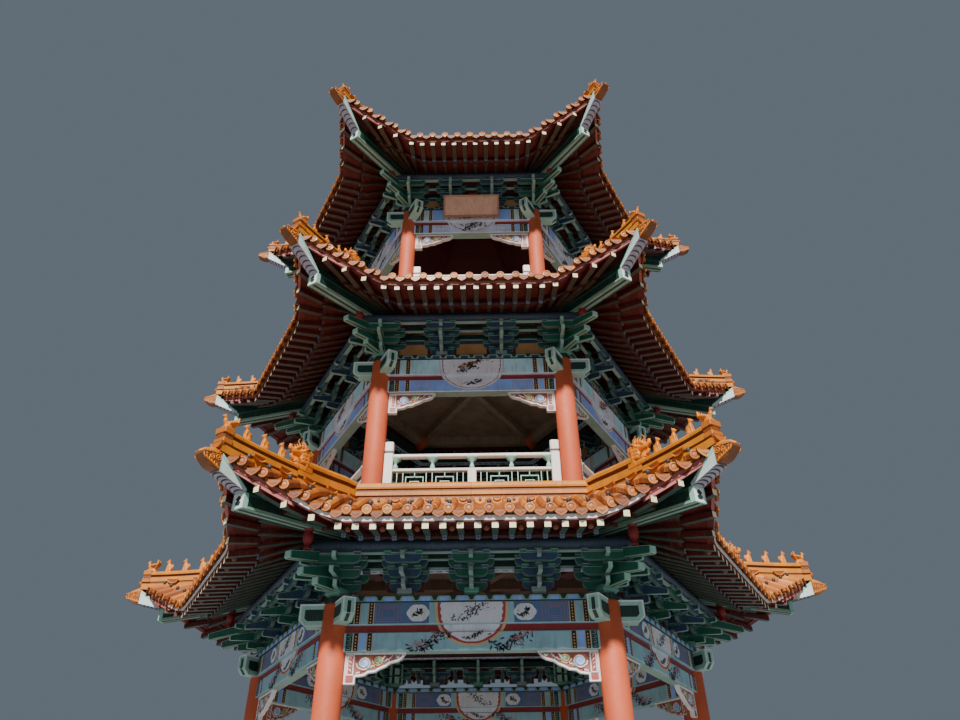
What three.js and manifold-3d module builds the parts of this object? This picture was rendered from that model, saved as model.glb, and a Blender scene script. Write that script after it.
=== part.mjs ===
// A three-storey hexagonal pavilion: stone platform, painted timber frame, glazed tile roofs.
// Millimetres, Z up, the origin under the middle of the platform, the front towards -Y.
import * as THREE from 'three';
import { mergeVertices } from 'three/addons/utils/BufferGeometryUtils.js';
import Module from 'manifold-3d';

const wasm = await Module();
wasm.setup();

// Driving dimensions
const SIDES = 6;
const SIDE_TURN = Math.PI / 3;
const HALF_TURN_OF_SIDE = Math.PI / 6;
const CLEAR = 0.3;              // gap that pieces lying on one another keep
const BASE_TOP = 300;           // height of the stone platform, in two courses
const BASE_APOTHEM = 4750;      // its lower course
const UPPER_COURSE_APOTHEM = 4400;
const OVERHANG = 1760;          // eave edge beyond the column line, in the middle of a side
const PURLIN_OUT = 520;         // eave purlin beyond the column line
const PURLIN_DIAMETER = 180;
const PLATE_HEIGHT = 100;       // flat board on top of the ring beam
const EAVE_THICKNESS = 240;     // rafters, boards and tile bed at the eave edge
const APEX_HEIGHT = 18900;
const RIDGE_RISE = 480;         // hip ridges above the tiles, behind the large beast
const FRONT_RIDGE_RISE = 350;   // and in front of it
const RING_RIDGE_RISE = 370;    // ridge against the storey above, over the floor there
const RIDGE_WIDTH = 200;
const FINIAL_RADIUS = 540;      // foot of the finial
const FLOOR_EDGE = 50;          // upper floors beyond the faces of their columns
const TILE_ROW = 293;           // barrel tile rows, middle to middle
const ROWS_PER_RIB = 3;         // every third row near the middle of a side is a rib of the solid
const RIBS_FROM_MIDDLE = 2;

const STOREYS = [
  { name: 'ground', columnRing: 4260, columnDiameter: 420, columnFoot: BASE_TOP + 130,
    beamBottom: 4160, beamTop: 4880, eaveLow: 580, tipRadius: 7410, noseLow: 5670,
    cornerRise: 670, bracketSets: 3, upperFloor: 6650 },
  { name: 'second', columnRing: 3680, columnDiameter: 400, columnFoot: 5841,
    beamBottom: 9140, beamTop: 9890, eaveLow: 510, tipRadius: 6820, noseLow: 10410,
    cornerRise: 605, bracketSets: 2, upperFloor: 11600 },
  { name: 'third', columnRing: 3100, columnDiameter: 355, columnFoot: 10851,
    beamBottom: 14060, beamTop: 14830, eaveLow: 510, tipRadius: 6310, noseLow: 15300,
    cornerRise: 625, bracketSets: 2, upperFloor: null },
];

const apothemOf = (radius) => radius * Math.cos(HALF_TURN_OF_SIDE);
const cornerOf = (apothem) => apothem / Math.cos(HALF_TURN_OF_SIDE);
const plateTop = (storey) => storey.beamTop + PLATE_HEIGHT;

// Closed solids from three.js geometry, and their joining
function solidOf(geometry) {
  const plain = geometry.clone();
  plain.deleteAttribute('normal');
  plain.deleteAttribute('uv');
  const merged = mergeVertices(plain, 1e-3);
  return new wasm.Manifold(new wasm.Mesh({
    numProp: 3,
    vertProperties: new Float32Array(merged.attributes.position.array),
    triVerts: new Uint32Array(merged.index.array),
  }));
}

function joined(geometries) {
  return geometries.map(solidOf).reduce((whole, solid) => whole.add(solid));
}

function geometryOf(solid) {
  const mesh = solid.asOriginal().simplify(0.05).getMesh();
  const geometry = new THREE.BufferGeometry();
  geometry.setAttribute('position', new THREE.BufferAttribute(new Float32Array(mesh.vertProperties), 3));
  geometry.setIndex(new THREE.BufferAttribute(new Uint32Array(mesh.triVerts), 1));
  return geometry;
}

// Shapes in the frame of one side: u along the side, v outward from the axis, z up.
// Side 0 is the front, and a corner lies half a side's turn further round.
const turned = (geometry, turn) => geometry.rotateZ(turn);
const onSide = (geometry, side) => turned(geometry, side * SIDE_TURN);
const onCorner = (geometry, side) => turned(geometry, side * SIDE_TURN + HALF_TURN_OF_SIDE);

function block(u0, u1, v0, v1, z0, z1) {
  const geometry = new THREE.BoxGeometry(u1 - u0, v1 - v0, z1 - z0);
  return geometry.translate((u0 + u1) / 2, -(v0 + v1) / 2, (z0 + z1) / 2);
}

function outline(points) {
  const shape = new THREE.Shape();
  shape.moveTo(...points[0]);
  points.slice(1).forEach((point) => shape.lineTo(...point));
  shape.closePath();
  return shape;
}

// A board cut to an outline of (u, z) points that is v0 to v1 thick
function boardAlong(points, v0, v1) {
  const geometry = new THREE.ExtrudeGeometry(outline(points), { depth: v1 - v0, bevelEnabled: false });
  return geometry.rotateX(Math.PI / 2).translate(0, -v0, 0);
}

// A board cut to an outline of (v, z) points that is u0 to u1 thick
function boardOutward(points, u0, u1) {
  const geometry = new THREE.ExtrudeGeometry(outline(points), { depth: u1 - u0, bevelEnabled: false });
  return geometry.rotateX(Math.PI / 2).rotateZ(-Math.PI / 2).translate(u1, 0, 0);
}

function hexagonPoints(apothem) {
  const radius = cornerOf(apothem);
  return Array.from({ length: SIDES }, (_, i) => {
    const angle = i * SIDE_TURN;
    return [radius * Math.cos(angle), radius * Math.sin(angle)];
  });
}

function hexagonSlab(apothem, z0, z1) {
  const shape = outline(hexagonPoints(apothem));
  return new THREE.ExtrudeGeometry(shape, { depth: z1 - z0, bevelEnabled: false }).translate(0, 0, z0);
}

function hexagonRing(inner, outer, z0, z1) {
  const shape = outline(hexagonPoints(outer));
  const hole = new THREE.Path();
  const points = hexagonPoints(inner);
  hole.moveTo(...points[0]);
  points.slice(1).forEach((point) => hole.lineTo(...point));
  hole.closePath();
  shape.holes.push(hole);
  return new THREE.ExtrudeGeometry(shape, { depth: z1 - z0, bevelEnabled: false }).translate(0, 0, z0);
}

// A closed hexagonal ring whose cross-section is an outline of (v, z) points
function ringOf(profile) {
  const positions = [];
  const index = [];
  const count = profile.length;
  for (let corner = 0; corner < SIDES; corner++) {
    const angle = corner * SIDE_TURN;
    for (const [v, z] of profile) {
      positions.push(cornerOf(v) * Math.cos(angle), cornerOf(v) * Math.sin(angle), z);
    }
  }
  for (let corner = 0; corner < SIDES; corner++) {
    const next = (corner + 1) % SIDES;
    for (let j = 0; j < count; j++) {
      const k = (j + 1) % count;
      const [a, b, c, d] = [corner * count + j, next * count + j, next * count + k, corner * count + k];
      index.push(a, b, c, a, c, d);
    }
  }
  const geometry = new THREE.BufferGeometry();
  geometry.setAttribute('position', new THREE.Float32BufferAttribute(positions, 3));
  geometry.setIndex(index);
  return geometry;
}

function upright(x, y, radius, z0, z1, segments) {
  const geometry = new THREE.CylinderGeometry(radius, radius, z1 - z0, segments);
  return geometry.rotateX(Math.PI / 2).translate(x, y, (z0 + z1) / 2);
}

function cornerPlace(radius, corner) {
  const angle = corner * SIDE_TURN;
  return [radius * Math.cos(angle), radius * Math.sin(angle)];
}

// Columns, one at each corner of its storey
const COLUMN_SEGMENTS = 14;

function column(storey, corner) {
  const [x, y] = cornerPlace(storey.columnRing, corner);
  return upright(x, y, storey.columnDiameter / 2, storey.columnFoot, storey.beamTop - CLEAR, COLUMN_SEGMENTS);
}

function columnHoles(storey, z0, z1) {
  const radius = storey.columnDiameter / 2 + CLEAR * 1.05;
  const holes = Array.from({ length: SIDES }, (_, corner) => {
    const [x, y] = cornerPlace(storey.columnRing, corner);
    return upright(x, y, radius, z0, z1, COLUMN_SEGMENTS);
  });
  return joined(holes);
}

// Stone platform: a low course that serves as a step all round, the upper course and a drum
// under each column
function stonePlatform() {
  const ground = STOREYS[0];
  const parts = [
    hexagonSlab(BASE_APOTHEM, 0, BASE_TOP / 2),
    hexagonSlab(UPPER_COURSE_APOTHEM, BASE_TOP / 2 - 1, BASE_TOP),
  ];
  for (let corner = 0; corner < SIDES; corner++) {
    const [x, y] = cornerPlace(ground.columnRing, corner);
    const radius = ground.columnDiameter / 2 + 110;
    parts.push(upright(x, y, radius, BASE_TOP - 1, ground.columnFoot - CLEAR, COLUMN_SEGMENTS));
  }
  return joined(parts);
}

// Ring beam of a storey: the lower and upper beams, the flat board on top, the beam heads
// beyond the columns and the carved braces under the ends of each beam
function ringBeam(storey) {
  const apothem = apothemOf(storey.columnRing);
  const half = storey.columnRing / 2;
  const { beamBottom, beamTop } = storey;
  const lowerBeamTop = beamBottom + 280;
  const headReach = half + 560;
  const headDepth = 360;
  const braceLength = 920 + storey.columnDiameter / 2;
  const braceDepth = 440;
  const overlap = 2;
  const outside = [[110, beamBottom], [110, lowerBeamTop], [150, lowerBeamTop + 100], [150, beamTop],
    [170, beamTop], [170, plateTop(storey)]];
  const inside = outside.map(([v, z]) => [-v, z]).reverse();
  const section = [...outside, ...inside].map(([v, z]) => [apothem + v, z]);
  const parts = [ringOf(section)];
  for (let side = 0; side < SIDES; side++) {
    for (const end of [-1, 1]) {
      const [near, far] = [end * (half - 40), end * headReach].sort((p, q) => p - q);
      parts.push(onSide(block(near, far, apothem - 100, apothem + 100, beamTop - headDepth, beamTop + overlap), side));
      const brace = [[half, overlap], [half - braceLength, overlap], [half - braceLength, -90],
        [half - braceLength * 0.4, -260], [half - braceLength * 0.24, -braceDepth], [half, -braceDepth]];
      const points = brace.map(([u, z]) => [end * u, beamBottom + z]);
      parts.push(onSide(boardAlong(end > 0 ? points : points.reverse(), apothem - 45, apothem + 45), side));
    }
  }
  return joined(parts).subtract(columnHoles(storey, beamBottom - 600, beamTop + CLEAR / 2));
}

// Roofs. A cross-section goes up over the tiles and back under the rafters; each of its points
// has a distance from the axis and a height in the middle of a side, and both grow towards
// the corners, where the eave sweeps out and up.
const STRAIGHT_SHARE = 0.525;   // share of each half side over which the eave is level
const EAVE_SHARES = [-1, -0.76, -STRAIGHT_SHARE, 0, STRAIGHT_SHARE, 0.76];

const sweep = (s) => Math.max(0, (Math.abs(s) - STRAIGHT_SHARE) / (1 - STRAIGHT_SHARE));

function roofFrame(storey) {
  const apothem = apothemOf(storey.columnRing);
  const eaveDistance = apothem + OVERHANG;
  const cornerRadius = storey.tipRadius - 380;
  const outSweep = apothemOf(cornerRadius) - eaveDistance - 50;
  const eaveHeight = storey.beamTop + storey.eaveLow;
  const inner = storey.upperFloor === null ? 200 : innerEdge(storey);
  const peak = storey.upperFloor === null ? APEX_HEIGHT : storey.upperFloor + 100;
  return { apothem, eaveDistance, outSweep, eaveHeight, inner, peak, rise: storey.cornerRise };
}

function innerEdge(storey) {
  const above = STOREYS[STOREYS.indexOf(storey) + 1];
  return apothemOf(above.columnRing) + above.columnDiameter / 2 + FLOOR_EDGE;
}

function tileHeight(storey, distance) {
  const frame = roofFrame(storey);
  const edge = frame.eaveDistance + 50;
  const t = (edge - distance) / (edge - frame.inner);
  const start = frame.eaveHeight + EAVE_THICKNESS;
  const curve = storey.upperFloor === null ? 0.38 : 0.25;
  return start + (frame.peak - start) * ((1 - curve) * t + curve * t * t);
}

// Rows of points over the tiles, from the eave inward. One row lies over the column line,
// inside which the surface is flat, so that the ridges lie on it.
function tileRows(storey) {
  const { apothem, eaveDistance, inner } = roofFrame(storey);
  const rows = [eaveDistance + 50, apothem + 1100, apothem + 500, apothem];
  if (storey.upperFloor === null) rows.push(1700, 900);
  return [...rows, inner].map((distance) => [distance, tileHeight(storey, distance)]);
}

function roofPoint(storey, distance, height, s) {
  const frame = roofFrame(storey);
  const share = Math.max(0, (distance - frame.apothem) / OVERHANG);
  const atCorner = distance + frame.outSweep * share;
  const u = s * atCorner * Math.tan(HALF_TURN_OF_SIDE);
  return [u, distance + frame.outSweep * share * sweep(s), height + frame.rise * share * sweep(s)];
}

function undersideProfile(storey) {
  const frame = roofFrame(storey);
  const at = (out, height) => [frame.apothem + out, storey.beamTop + height];
  const step = [at(1260, storey.eaveLow - 10), at(1262, storey.eaveLow + 90)];
  const onPurlin = at(PURLIN_OUT, 880);
  if (storey.upperFloor === null) {
    return [[frame.inner, 18350], [1380, 17000], at(-400, 1390), onPurlin, ...step];
  }
  return [[frame.inner, onPurlin[1] + (PURLIN_OUT + frame.apothem - frame.inner) * 0.48], onPurlin, ...step];
}

function roofSolid(storey) {
  const frame = roofFrame(storey);
  const profile = [[frame.eaveDistance, frame.eaveHeight], ...tileRows(storey), ...undersideProfile(storey)];
  const steps = EAVE_SHARES.length;
  const around = SIDES * steps;
  const positions = [];
  for (let i = 0; i < around; i++) {
    const turn = Math.floor(i / steps) * SIDE_TURN;
    for (const [distance, height] of profile) {
      const [u, v, z] = roofPoint(storey, distance, height, EAVE_SHARES[i % steps]);
      positions.push(u * Math.cos(turn) + v * Math.sin(turn), u * Math.sin(turn) - v * Math.cos(turn), z);
    }
  }
  const index = [];
  const count = profile.length;
  for (let i = 0; i < around; i++) {
    const next = (i + 1) % around;
    const leftHalf = i % steps < steps / 2;
    for (let j = 0; j < count; j++) {
      const a = i * count + j;
      const b = next * count + j;
      const c = next * count + ((j + 1) % count);
      const d = i * count + ((j + 1) % count);
      if (leftHalf) index.push(a, b, c, a, c, d);
      else index.push(a, b, d, b, c, d);
    }
  }
  const geometry = new THREE.BufferGeometry();
  geometry.setAttribute('position', new THREE.Float32BufferAttribute(positions, 3));
  geometry.setIndex(index);
  return solidOf(geometry);
}

// The point of the tiles that lies u along the side, at a distance from the axis
function tilePoint(storey, distance, u) {
  const frame = roofFrame(storey);
  const share = Math.max(0, (distance - frame.apothem) / OVERHANG);
  const s = u / ((distance + frame.outSweep * share) * Math.tan(HALF_TURN_OF_SIDE));
  return roofPoint(storey, distance, tileHeight(storey, distance), s);
}

// The distance at which a rib that reaches u along the side comes free of the hip ridge
function freeOfHip(storey, u) {
  const room = RIDGE_WIDTH / 2 + 8;
  let [near, far] = [0, storey.tipRadius];
  for (let i = 0; i < 30; i++) {
    const distance = (near + far) / 2;
    const [, v] = tilePoint(storey, distance, u);
    if ((v * Math.tan(HALF_TURN_OF_SIDE) - u) * Math.cos(HALF_TURN_OF_SIDE) > room) far = distance;
    else near = distance;
  }
  return far;
}

// A raised tile row: a low rib that follows the tiles from the eave up to the ridge it meets
function tileRib(storey, u) {
  const [halfBase, halfTop, height, buried] = [60, 40, 84, 110];
  const ringOuter = storey.upperFloor === null ? roofFrame(storey).inner + 345 : roofFrame(storey).apothem + 2;
  const end = Math.max(ringOuter, freeOfHip(storey, Math.abs(u) + halfBase));
  const rows = [...tileRows(storey).map(([distance]) => distance).filter((distance) => distance > end + 60), end];
  const section = [[-halfBase, -buried], [halfBase, -buried], [halfTop, height], [-halfTop, height]];
  const positions = [];
  for (const distance of rows) {
    for (const [across, lift] of section) {
      const [, v, z] = tilePoint(storey, distance, u + across);
      positions.push(u + across, -v, z + lift);
    }
  }
  const count = section.length;
  const index = [];
  for (let i = 0; i < rows.length - 1; i++) {
    for (let j = 0; j < count; j++) {
      const [a, b] = [i * count + j, i * count + ((j + 1) % count)];
      index.push(a, b + count, b, a, a + count, b + count);
    }
  }
  const last = (rows.length - 1) * count;
  for (let j = 1; j < count - 1; j++) {
    index.push(0, j, j + 1, last, last + j + 1, last + j);
  }
  const geometry = new THREE.BufferGeometry();
  geometry.setAttribute('position', new THREE.Float32BufferAttribute(positions, 3));
  geometry.setIndex(index);
  return geometry;
}

function tileRibs(storey) {
  const ribs = [];
  for (let side = 0; side < SIDES; side++) {
    for (let k = -RIBS_FROM_MIDDLE; k <= RIBS_FROM_MIDDLE; k++) {
      ribs.push(onSide(tileRib(storey, k * TILE_ROW * ROWS_PER_RIB), side));
    }
  }
  return ribs;
}

// The corner line of a roof surface: distance from the axis along the corner, and height
function cornerLine(storey, distance, height) {
  const [, v, z] = roofPoint(storey, distance, height, 1);
  return [cornerOf(v), z];
}

// Corner beams: the lower beam with its square nose, the upper beam on it and the cap on its tip
function cornerBeamOutline(storey, clearance) {
  const frame = roofFrame(storey);
  const inner = cornerOf(frame.apothem + PURLIN_OUT) - 300;
  const tip = storey.tipRadius;
  const nose = tip - 850;
  const lowInner = storey.beamTop + 850;
  const beamDepth = 240;
  const capFoot = cornerLine(storey, frame.eaveDistance, frame.eaveHeight)[1] - 80;
  const stepCorner = cornerLine(storey, frame.apothem + 1262, storey.beamTop + storey.eaveLow + 90);
  const buried = 60 + clearance;
  return [
    [inner, lowInner + 30], [nose, storey.noseLow - clearance], [nose + 20, storey.noseLow + beamDepth],
    [tip - 310, capFoot - clearance], [tip - 40, capFoot + 90], [tip, capFoot + 230],
    [tip - 210, capFoot + 300], [tip - 335 + clearance, capFoot + 290],
    [tip - 340 + clearance, capFoot + 80 + buried], [stepCorner[0], stepCorner[1] + buried],
    [inner, lowInner + 130 + clearance],
  ];
}

function cornerBeams(storey, clearance) {
  const half = 110 + clearance;
  const points = cornerBeamOutline(storey, clearance);
  return Array.from({ length: SIDES }, (_, side) => onCorner(boardOutward(points, -half, half), side));
}

// Bracket sets on the flat board. On each side one board holds the tie beam and the arms along
// the side, an arm at each set reaches out under the purlin, and short arms carry the purlin.
function armOutward(storey, stretch) {
  const apothem = apothemOf(storey.columnRing);
  const z = plateTop(storey);
  const top = purlinLow(storey);
  return [[-110, z + CLEAR], [110, z + CLEAR], [600, z + 440], [600, top], [-540, top], [-540, z + 440]]
    .map(([v, height]) => [(apothem + v) * stretch, height]);
}

function setPlaces(storey) {
  const half = storey.columnRing / 2;
  return Array.from({ length: storey.bracketSets }, (_, i) => -half + ((i + 1) * 2 * half) / (storey.bracketSets + 1));
}

function tieAndArms(storey) {
  const z = plateTop(storey);
  const top = purlinLow(storey);
  const half = storey.columnRing / 2;
  const points = [[-half, top], [-half, z + CLEAR], [-half + 110, z + CLEAR], [-half + 420, z + 450]];
  for (const u of setPlaces(storey)) {
    points.push([u - 420, z + 450], [u - 110, z + CLEAR], [u + 110, z + CLEAR], [u + 420, z + 450]);
  }
  points.push([half - 420, z + 450], [half - 110, z + CLEAR], [half, z + CLEAR], [half, top]);
  return points;
}

function armUnderPurlin(storey, u) {
  const top = purlinLow(storey);
  return [[u - 120, top - 180], [u + 120, top - 180], [u + 290, top], [u - 290, top]];
}

function bracketSets(storey) {
  const apothem = apothemOf(storey.columnRing);
  const purlin = apothem + PURLIN_OUT;
  const parts = [];
  for (let side = 0; side < SIDES; side++) {
    parts.push(onSide(boardAlong(tieAndArms(storey), apothem - 45, apothem + 45), side));
    for (const u of setPlaces(storey)) {
      parts.push(onSide(boardOutward(armOutward(storey, 1), u - 50, u + 50), side));
      parts.push(onSide(boardAlong(armUnderPurlin(storey, u), purlin - 40, purlin + 40), side));
    }
    parts.push(onCorner(boardOutward(armOutward(storey, 1 / Math.cos(HALF_TURN_OF_SIDE)), -60, 60), side));
  }
  return parts;
}

// The round eave purlin: its centre lies a radius under the rafters, square to their slope
const PURLIN_FLAT = (PURLIN_DIAMETER / 2) * Math.cos(Math.PI / 8);

function purlinCentre(storey) {
  const slope = Math.atan2(880 - (storey.eaveLow - 10), 1260 - PURLIN_OUT);
  return storey.beamTop + 880 - (PURLIN_DIAMETER / 2 + CLEAR) / Math.cos(slope);
}

const purlinLow = (storey) => purlinCentre(storey) - PURLIN_FLAT;

function eavePurlin(storey) {
  const apothem = apothemOf(storey.columnRing);
  const section = Array.from({ length: 8 }, (_, i) => {
    const angle = ((i + 0.5) * Math.PI) / 4;
    const radius = PURLIN_DIAMETER / 2;
    return [apothem + PURLIN_OUT + radius * Math.cos(angle), purlinCentre(storey) + radius * Math.sin(angle)];
  });
  return ringOf(section);
}

// Boards behind the bracket sets of the upper storeys
function backBoards(storey) {
  const apothem = apothemOf(storey.columnRing);
  const z = plateTop(storey);
  return ringOf([[apothem - 20, z + CLEAR], [apothem + 20, z + CLEAR], [apothem + 20, z + 500], [apothem - 20, z + 500]]);
}

function bracketsAndEaveBeams(storey) {
  const parts = [...bracketSets(storey), eavePurlin(storey), ...cornerBeams(storey, 0)];
  if (storey.bracketSets === 2) parts.push(backBoards(storey));
  return joined(parts);
}

function largestBody(solid) {
  const bodies = solid.decompose();
  return bodies.reduce((best, body) => (body.volume() > best.volume() ? body : best));
}

// Ridges on a roof: the ring against the storey above, or the hub at the top, and the six hip
// ridges with a large beast on each
function hipRidge(storey) {
  const end = storey.tipRadius - 260;
  const start = storey.upperFloor === null ? FINIAL_RADIUS + 20 : cornerOf(roofFrame(storey).inner + 20);
  const line = tileRows(storey).map(([distance, height]) => cornerLine(storey, distance, height)).reverse();
  const [r0, z0] = line[0];
  const [r1, z1] = line[1];
  line[0] = [start, z0 + ((z1 - z0) * (start - r0)) / (r1 - r0)];
  const low = line.map(([radius, z]) => [radius, z + CLEAR]);
  const eave = low[low.length - 1];
  const beast = beastPlace(storey);
  const highest = storey.upperFloor === null ? Infinity : storey.upperFloor + RING_RIDGE_RISE + 30;
  const behind = line.filter(([radius]) => radius < beast).reverse()
    .map(([radius, z]) => [radius, Math.min(z + RIDGE_RISE, highest)]);
  const atBeast = heightAlong(line, beast);
  const high = [[end, eave[1] + FRONT_RIDGE_RISE], [beast, atBeast + FRONT_RIDGE_RISE], [beast - 2, atBeast + RIDGE_RISE], ...behind];
  return [...low, [end, eave[1] + 150], ...high];
}

const beastPlace = (storey) => storey.tipRadius - 1800;

// Height of a falling line of (radius, z) points at a radius
function heightAlong(line, radius) {
  const i = line.findIndex(([far]) => far > radius);
  const [[r0, z0], [r1, z1]] = [line[i - 1], line[i]];
  return z0 + ((z1 - z0) * (radius - r0)) / (r1 - r0);
}

function ridgeBeast(storey) {
  const line = tileRows(storey).map(([distance, height]) => cornerLine(storey, distance, height)).reverse();
  const place = beastPlace(storey);
  const crest = heightAlong(line, place) + FRONT_RIDGE_RISE;
  return [[place - 130, crest - 120], [place + 170, crest - 120], [place + 150, crest + 230], [place + 20, crest + 400],
    [place - 200, crest + 420], [place - 130, crest]];
}

function roofRidges(storey) {
  const { inner } = roofFrame(storey);
  const parts = [];
  for (let side = 0; side < SIDES; side++) {
    parts.push(onCorner(boardOutward(hipRidge(storey), -RIDGE_WIDTH / 2, RIDGE_WIDTH / 2), side));
    parts.push(onCorner(boardOutward(ridgeBeast(storey), -60, 60), side));
  }
  const rows = tileRows(storey);
  const [innerRow, nextRow] = [rows[rows.length - 1], rows[rows.length - 2]];
  const slope = (nextRow[1] - innerRow[1]) / (nextRow[0] - innerRow[0]);
  const width = storey.upperFloor === null ? 330 : nextRow[0] - innerRow[0] - 10;
  const top = storey.upperFloor === null ? APEX_HEIGHT - 2 : storey.upperFloor + RING_RIDGE_RISE;
  const near = inner + 5;
  const far = inner + width;
  parts.push(ringOf([[near, innerRow[1] + slope * 5 + CLEAR * 1.5], [far, innerRow[1] + slope * width + CLEAR * 1.5],
    [far, top], [near, top]]));
  return joined(parts);
}

// Floors of the upper storeys: slab, beams along the column line and ribs that meet in the middle
function upperFloor(index) {
  const storey = STOREYS[index];
  const top = STOREYS[index - 1].upperFloor;
  const edge = innerEdge(STOREYS[index - 1]) - CLEAR;
  const apothem = apothemOf(storey.columnRing);
  const parts = [
    hexagonSlab(edge, top - 200, top),
    hexagonRing(apothem - 90, apothem + 90, top - 450, top - 199),
  ];
  for (let rib = 0; rib < SIDES / 2; rib++) {
    const reach = storey.columnRing - storey.columnDiameter;
    parts.push(onCorner(block(-80, 80, -reach, reach, top - 420, top - 199), rib));
  }
  return joined(parts).subtract(columnHoles(storey, top - 500, top + 50));
}

// Beams on the brackets that carry the set-back columns of the storey above
function transferBeams(index) {
  const storey = STOREYS[index];
  const above = STOREYS[index + 1];
  const low = purlinLow(storey) + CLEAR;
  const high = above.columnFoot - CLEAR;
  const apothem = apothemOf(above.columnRing);
  const parts = [hexagonRing(apothem - 110, apothem + 110, low, high)];
  for (let side = 0; side < SIDES; side++) {
    parts.push(onCorner(block(-120, 120, above.columnRing - 520, storey.columnRing + 60, low, high), side));
  }
  return joined(parts);
}

// A balustrade panel between two columns: posts, rails, middle post, vase supports and fret board
function balustrade(index, side) {
  const storey = STOREYS[index];
  const floor = STOREYS[index - 1].upperFloor + CLEAR;
  const apothem = apothemOf(storey.columnRing);
  const half = storey.columnRing / 2 - storey.columnDiameter / 2 - CLEAR;
  const post = 165;
  const railTop = 1180;
  const midRail = [780, 880];
  const section = [[60, 0], [60, 110], [25, 110], [25, midRail[0]], [50, midRail[0]], [50, midRail[1]]];
  const outside = section.map(([v, z]) => [apothem + v, floor + z]);
  const inside = section.map(([v, z]) => [apothem - v, floor + z]).reverse();
  const inset = half - post + 10;
  const parts = [
    boardOutward([...outside, ...inside], -inset, inset),
    block(-inset, inset, apothem - 60, apothem + 60, floor + railTop - 115, floor + railTop),
  ];
  for (const end of [-1, 1]) {
    const centre = end * (half - post / 2);
    parts.push(block(centre - post / 2, centre + post / 2, apothem - post / 2, apothem + post / 2, floor, floor + 1400));
  }
  for (const quarter of [-0.5, 0, 0.5]) {
    const u = quarter * (half - post);
    parts.push(block(u - 60, u + 60, apothem - 45, apothem + 45, floor + midRail[1] - 5, floor + railTop - 110));
  }
  return joined(parts.map((part) => onSide(part, side)));
}

// Glazed finial on the top of the roof
function finial() {
  const foot = APEX_HEIGHT + CLEAR;
  const profile = [[0, -350], [170, -350], [170, 0], [FINIAL_RADIUS - 20, 0], [FINIAL_RADIUS, 120], [400, 220], [460, 350],
    [260, 500], [350, 720], [340, 900], [180, 1090], [140, 1200], [0, 1420]];
  const geometry = new THREE.LatheGeometry(profile.map(([r, z]) => new THREE.Vector2(r, z)), 12);
  return joined([geometry.rotateX(Math.PI / 2).translate(0, 0, foot)]);
}

// The bare name board under the front eave of the third storey, leaning forward on two pegs
function nameBoard() {
  const storey = STOREYS[2];
  const face = apothemOf(storey.columnRing) + 150 + CLEAR;
  const halfWidth = 680;
  const low = [face + 110, 14440];
  const lean = THREE.MathUtils.degToRad(24);
  const length = 560;
  const thick = 60;
  const up = [Math.sin(lean), Math.cos(lean)];
  const out = [Math.cos(lean), -Math.sin(lean)];
  const corners = [[0, 0], [0, thick], [length, thick], [length, 0]]
    .map(([along, across]) => [low[0] + up[0] * along + out[0] * across, low[1] + up[1] * along + out[1] * across]);
  const parts = [boardOutward(corners, -halfWidth, halfWidth)];
  for (const u of [-400, 400]) {
    parts.push(block(u - 25, u + 25, face, face + 160, 14520, 14570));
  }
  return joined(parts);
}

// Assembly
const COLOURS = {
  column: [0xc4583a, 0.5, 0],
  stone: [0xb9b4a8, 0.85, 0],
  beam: [0x8fb3c4, 0.6, 0],
  bracket: [0x2f6b5a, 0.6, 0],
  tile: [0xd98a2b, 0.3, 0],
  floor: [0x6e5a48, 0.8, 0],
  marble: [0xe8e0d6, 0.5, 0],
  board: [0x9a6a58, 0.6, 0],
};

const pavilion = new THREE.Group();

function addPiece(name, solid, look) {
  const [color, roughness, metalness] = COLOURS[look];
  const material = new THREE.MeshStandardMaterial({ color, roughness, metalness });
  const mesh = new THREE.Mesh(geometryOf(solid), material);
  mesh.name = name;
  pavilion.add(mesh);
}

addPiece('stone_platform', stonePlatform(), 'stone');
STOREYS.forEach((storey, index) => {
  for (let corner = 0; corner < SIDES; corner++) {
    addPiece(`${storey.name}_column_${corner + 1}`, joined([column(storey, corner)]), 'column');
  }
  const roof = roofSolid(storey).add(joined(tileRibs(storey)));
  addPiece(`${storey.name}_ring_beam`, ringBeam(storey), 'beam');
  addPiece(`${storey.name}_brackets_and_corner_beams`, bracketsAndEaveBeams(storey), 'bracket');
  addPiece(`${storey.name}_roof`, largestBody(roof.subtract(joined(cornerBeams(storey, CLEAR)))), 'tile');
  addPiece(`${storey.name}_roof_ridges`, roofRidges(storey), 'tile');
  if (index > 0) {
    addPiece(`${storey.name}_floor`, upperFloor(index), 'floor');
    for (let side = 0; side < SIDES; side++) {
      addPiece(`${storey.name}_balustrade_${side + 1}`, balustrade(index, side), 'marble');
    }
  }
  if (storey.upperFloor !== null) {
    addPiece(`${storey.name}_transfer_beams`, transferBeams(index), 'bracket');
  }
});
addPiece('roof_finial', finial(), 'tile');
addPiece('name_board', nameBoard(), 'board');

export default pavilion;
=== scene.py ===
import math

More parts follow.
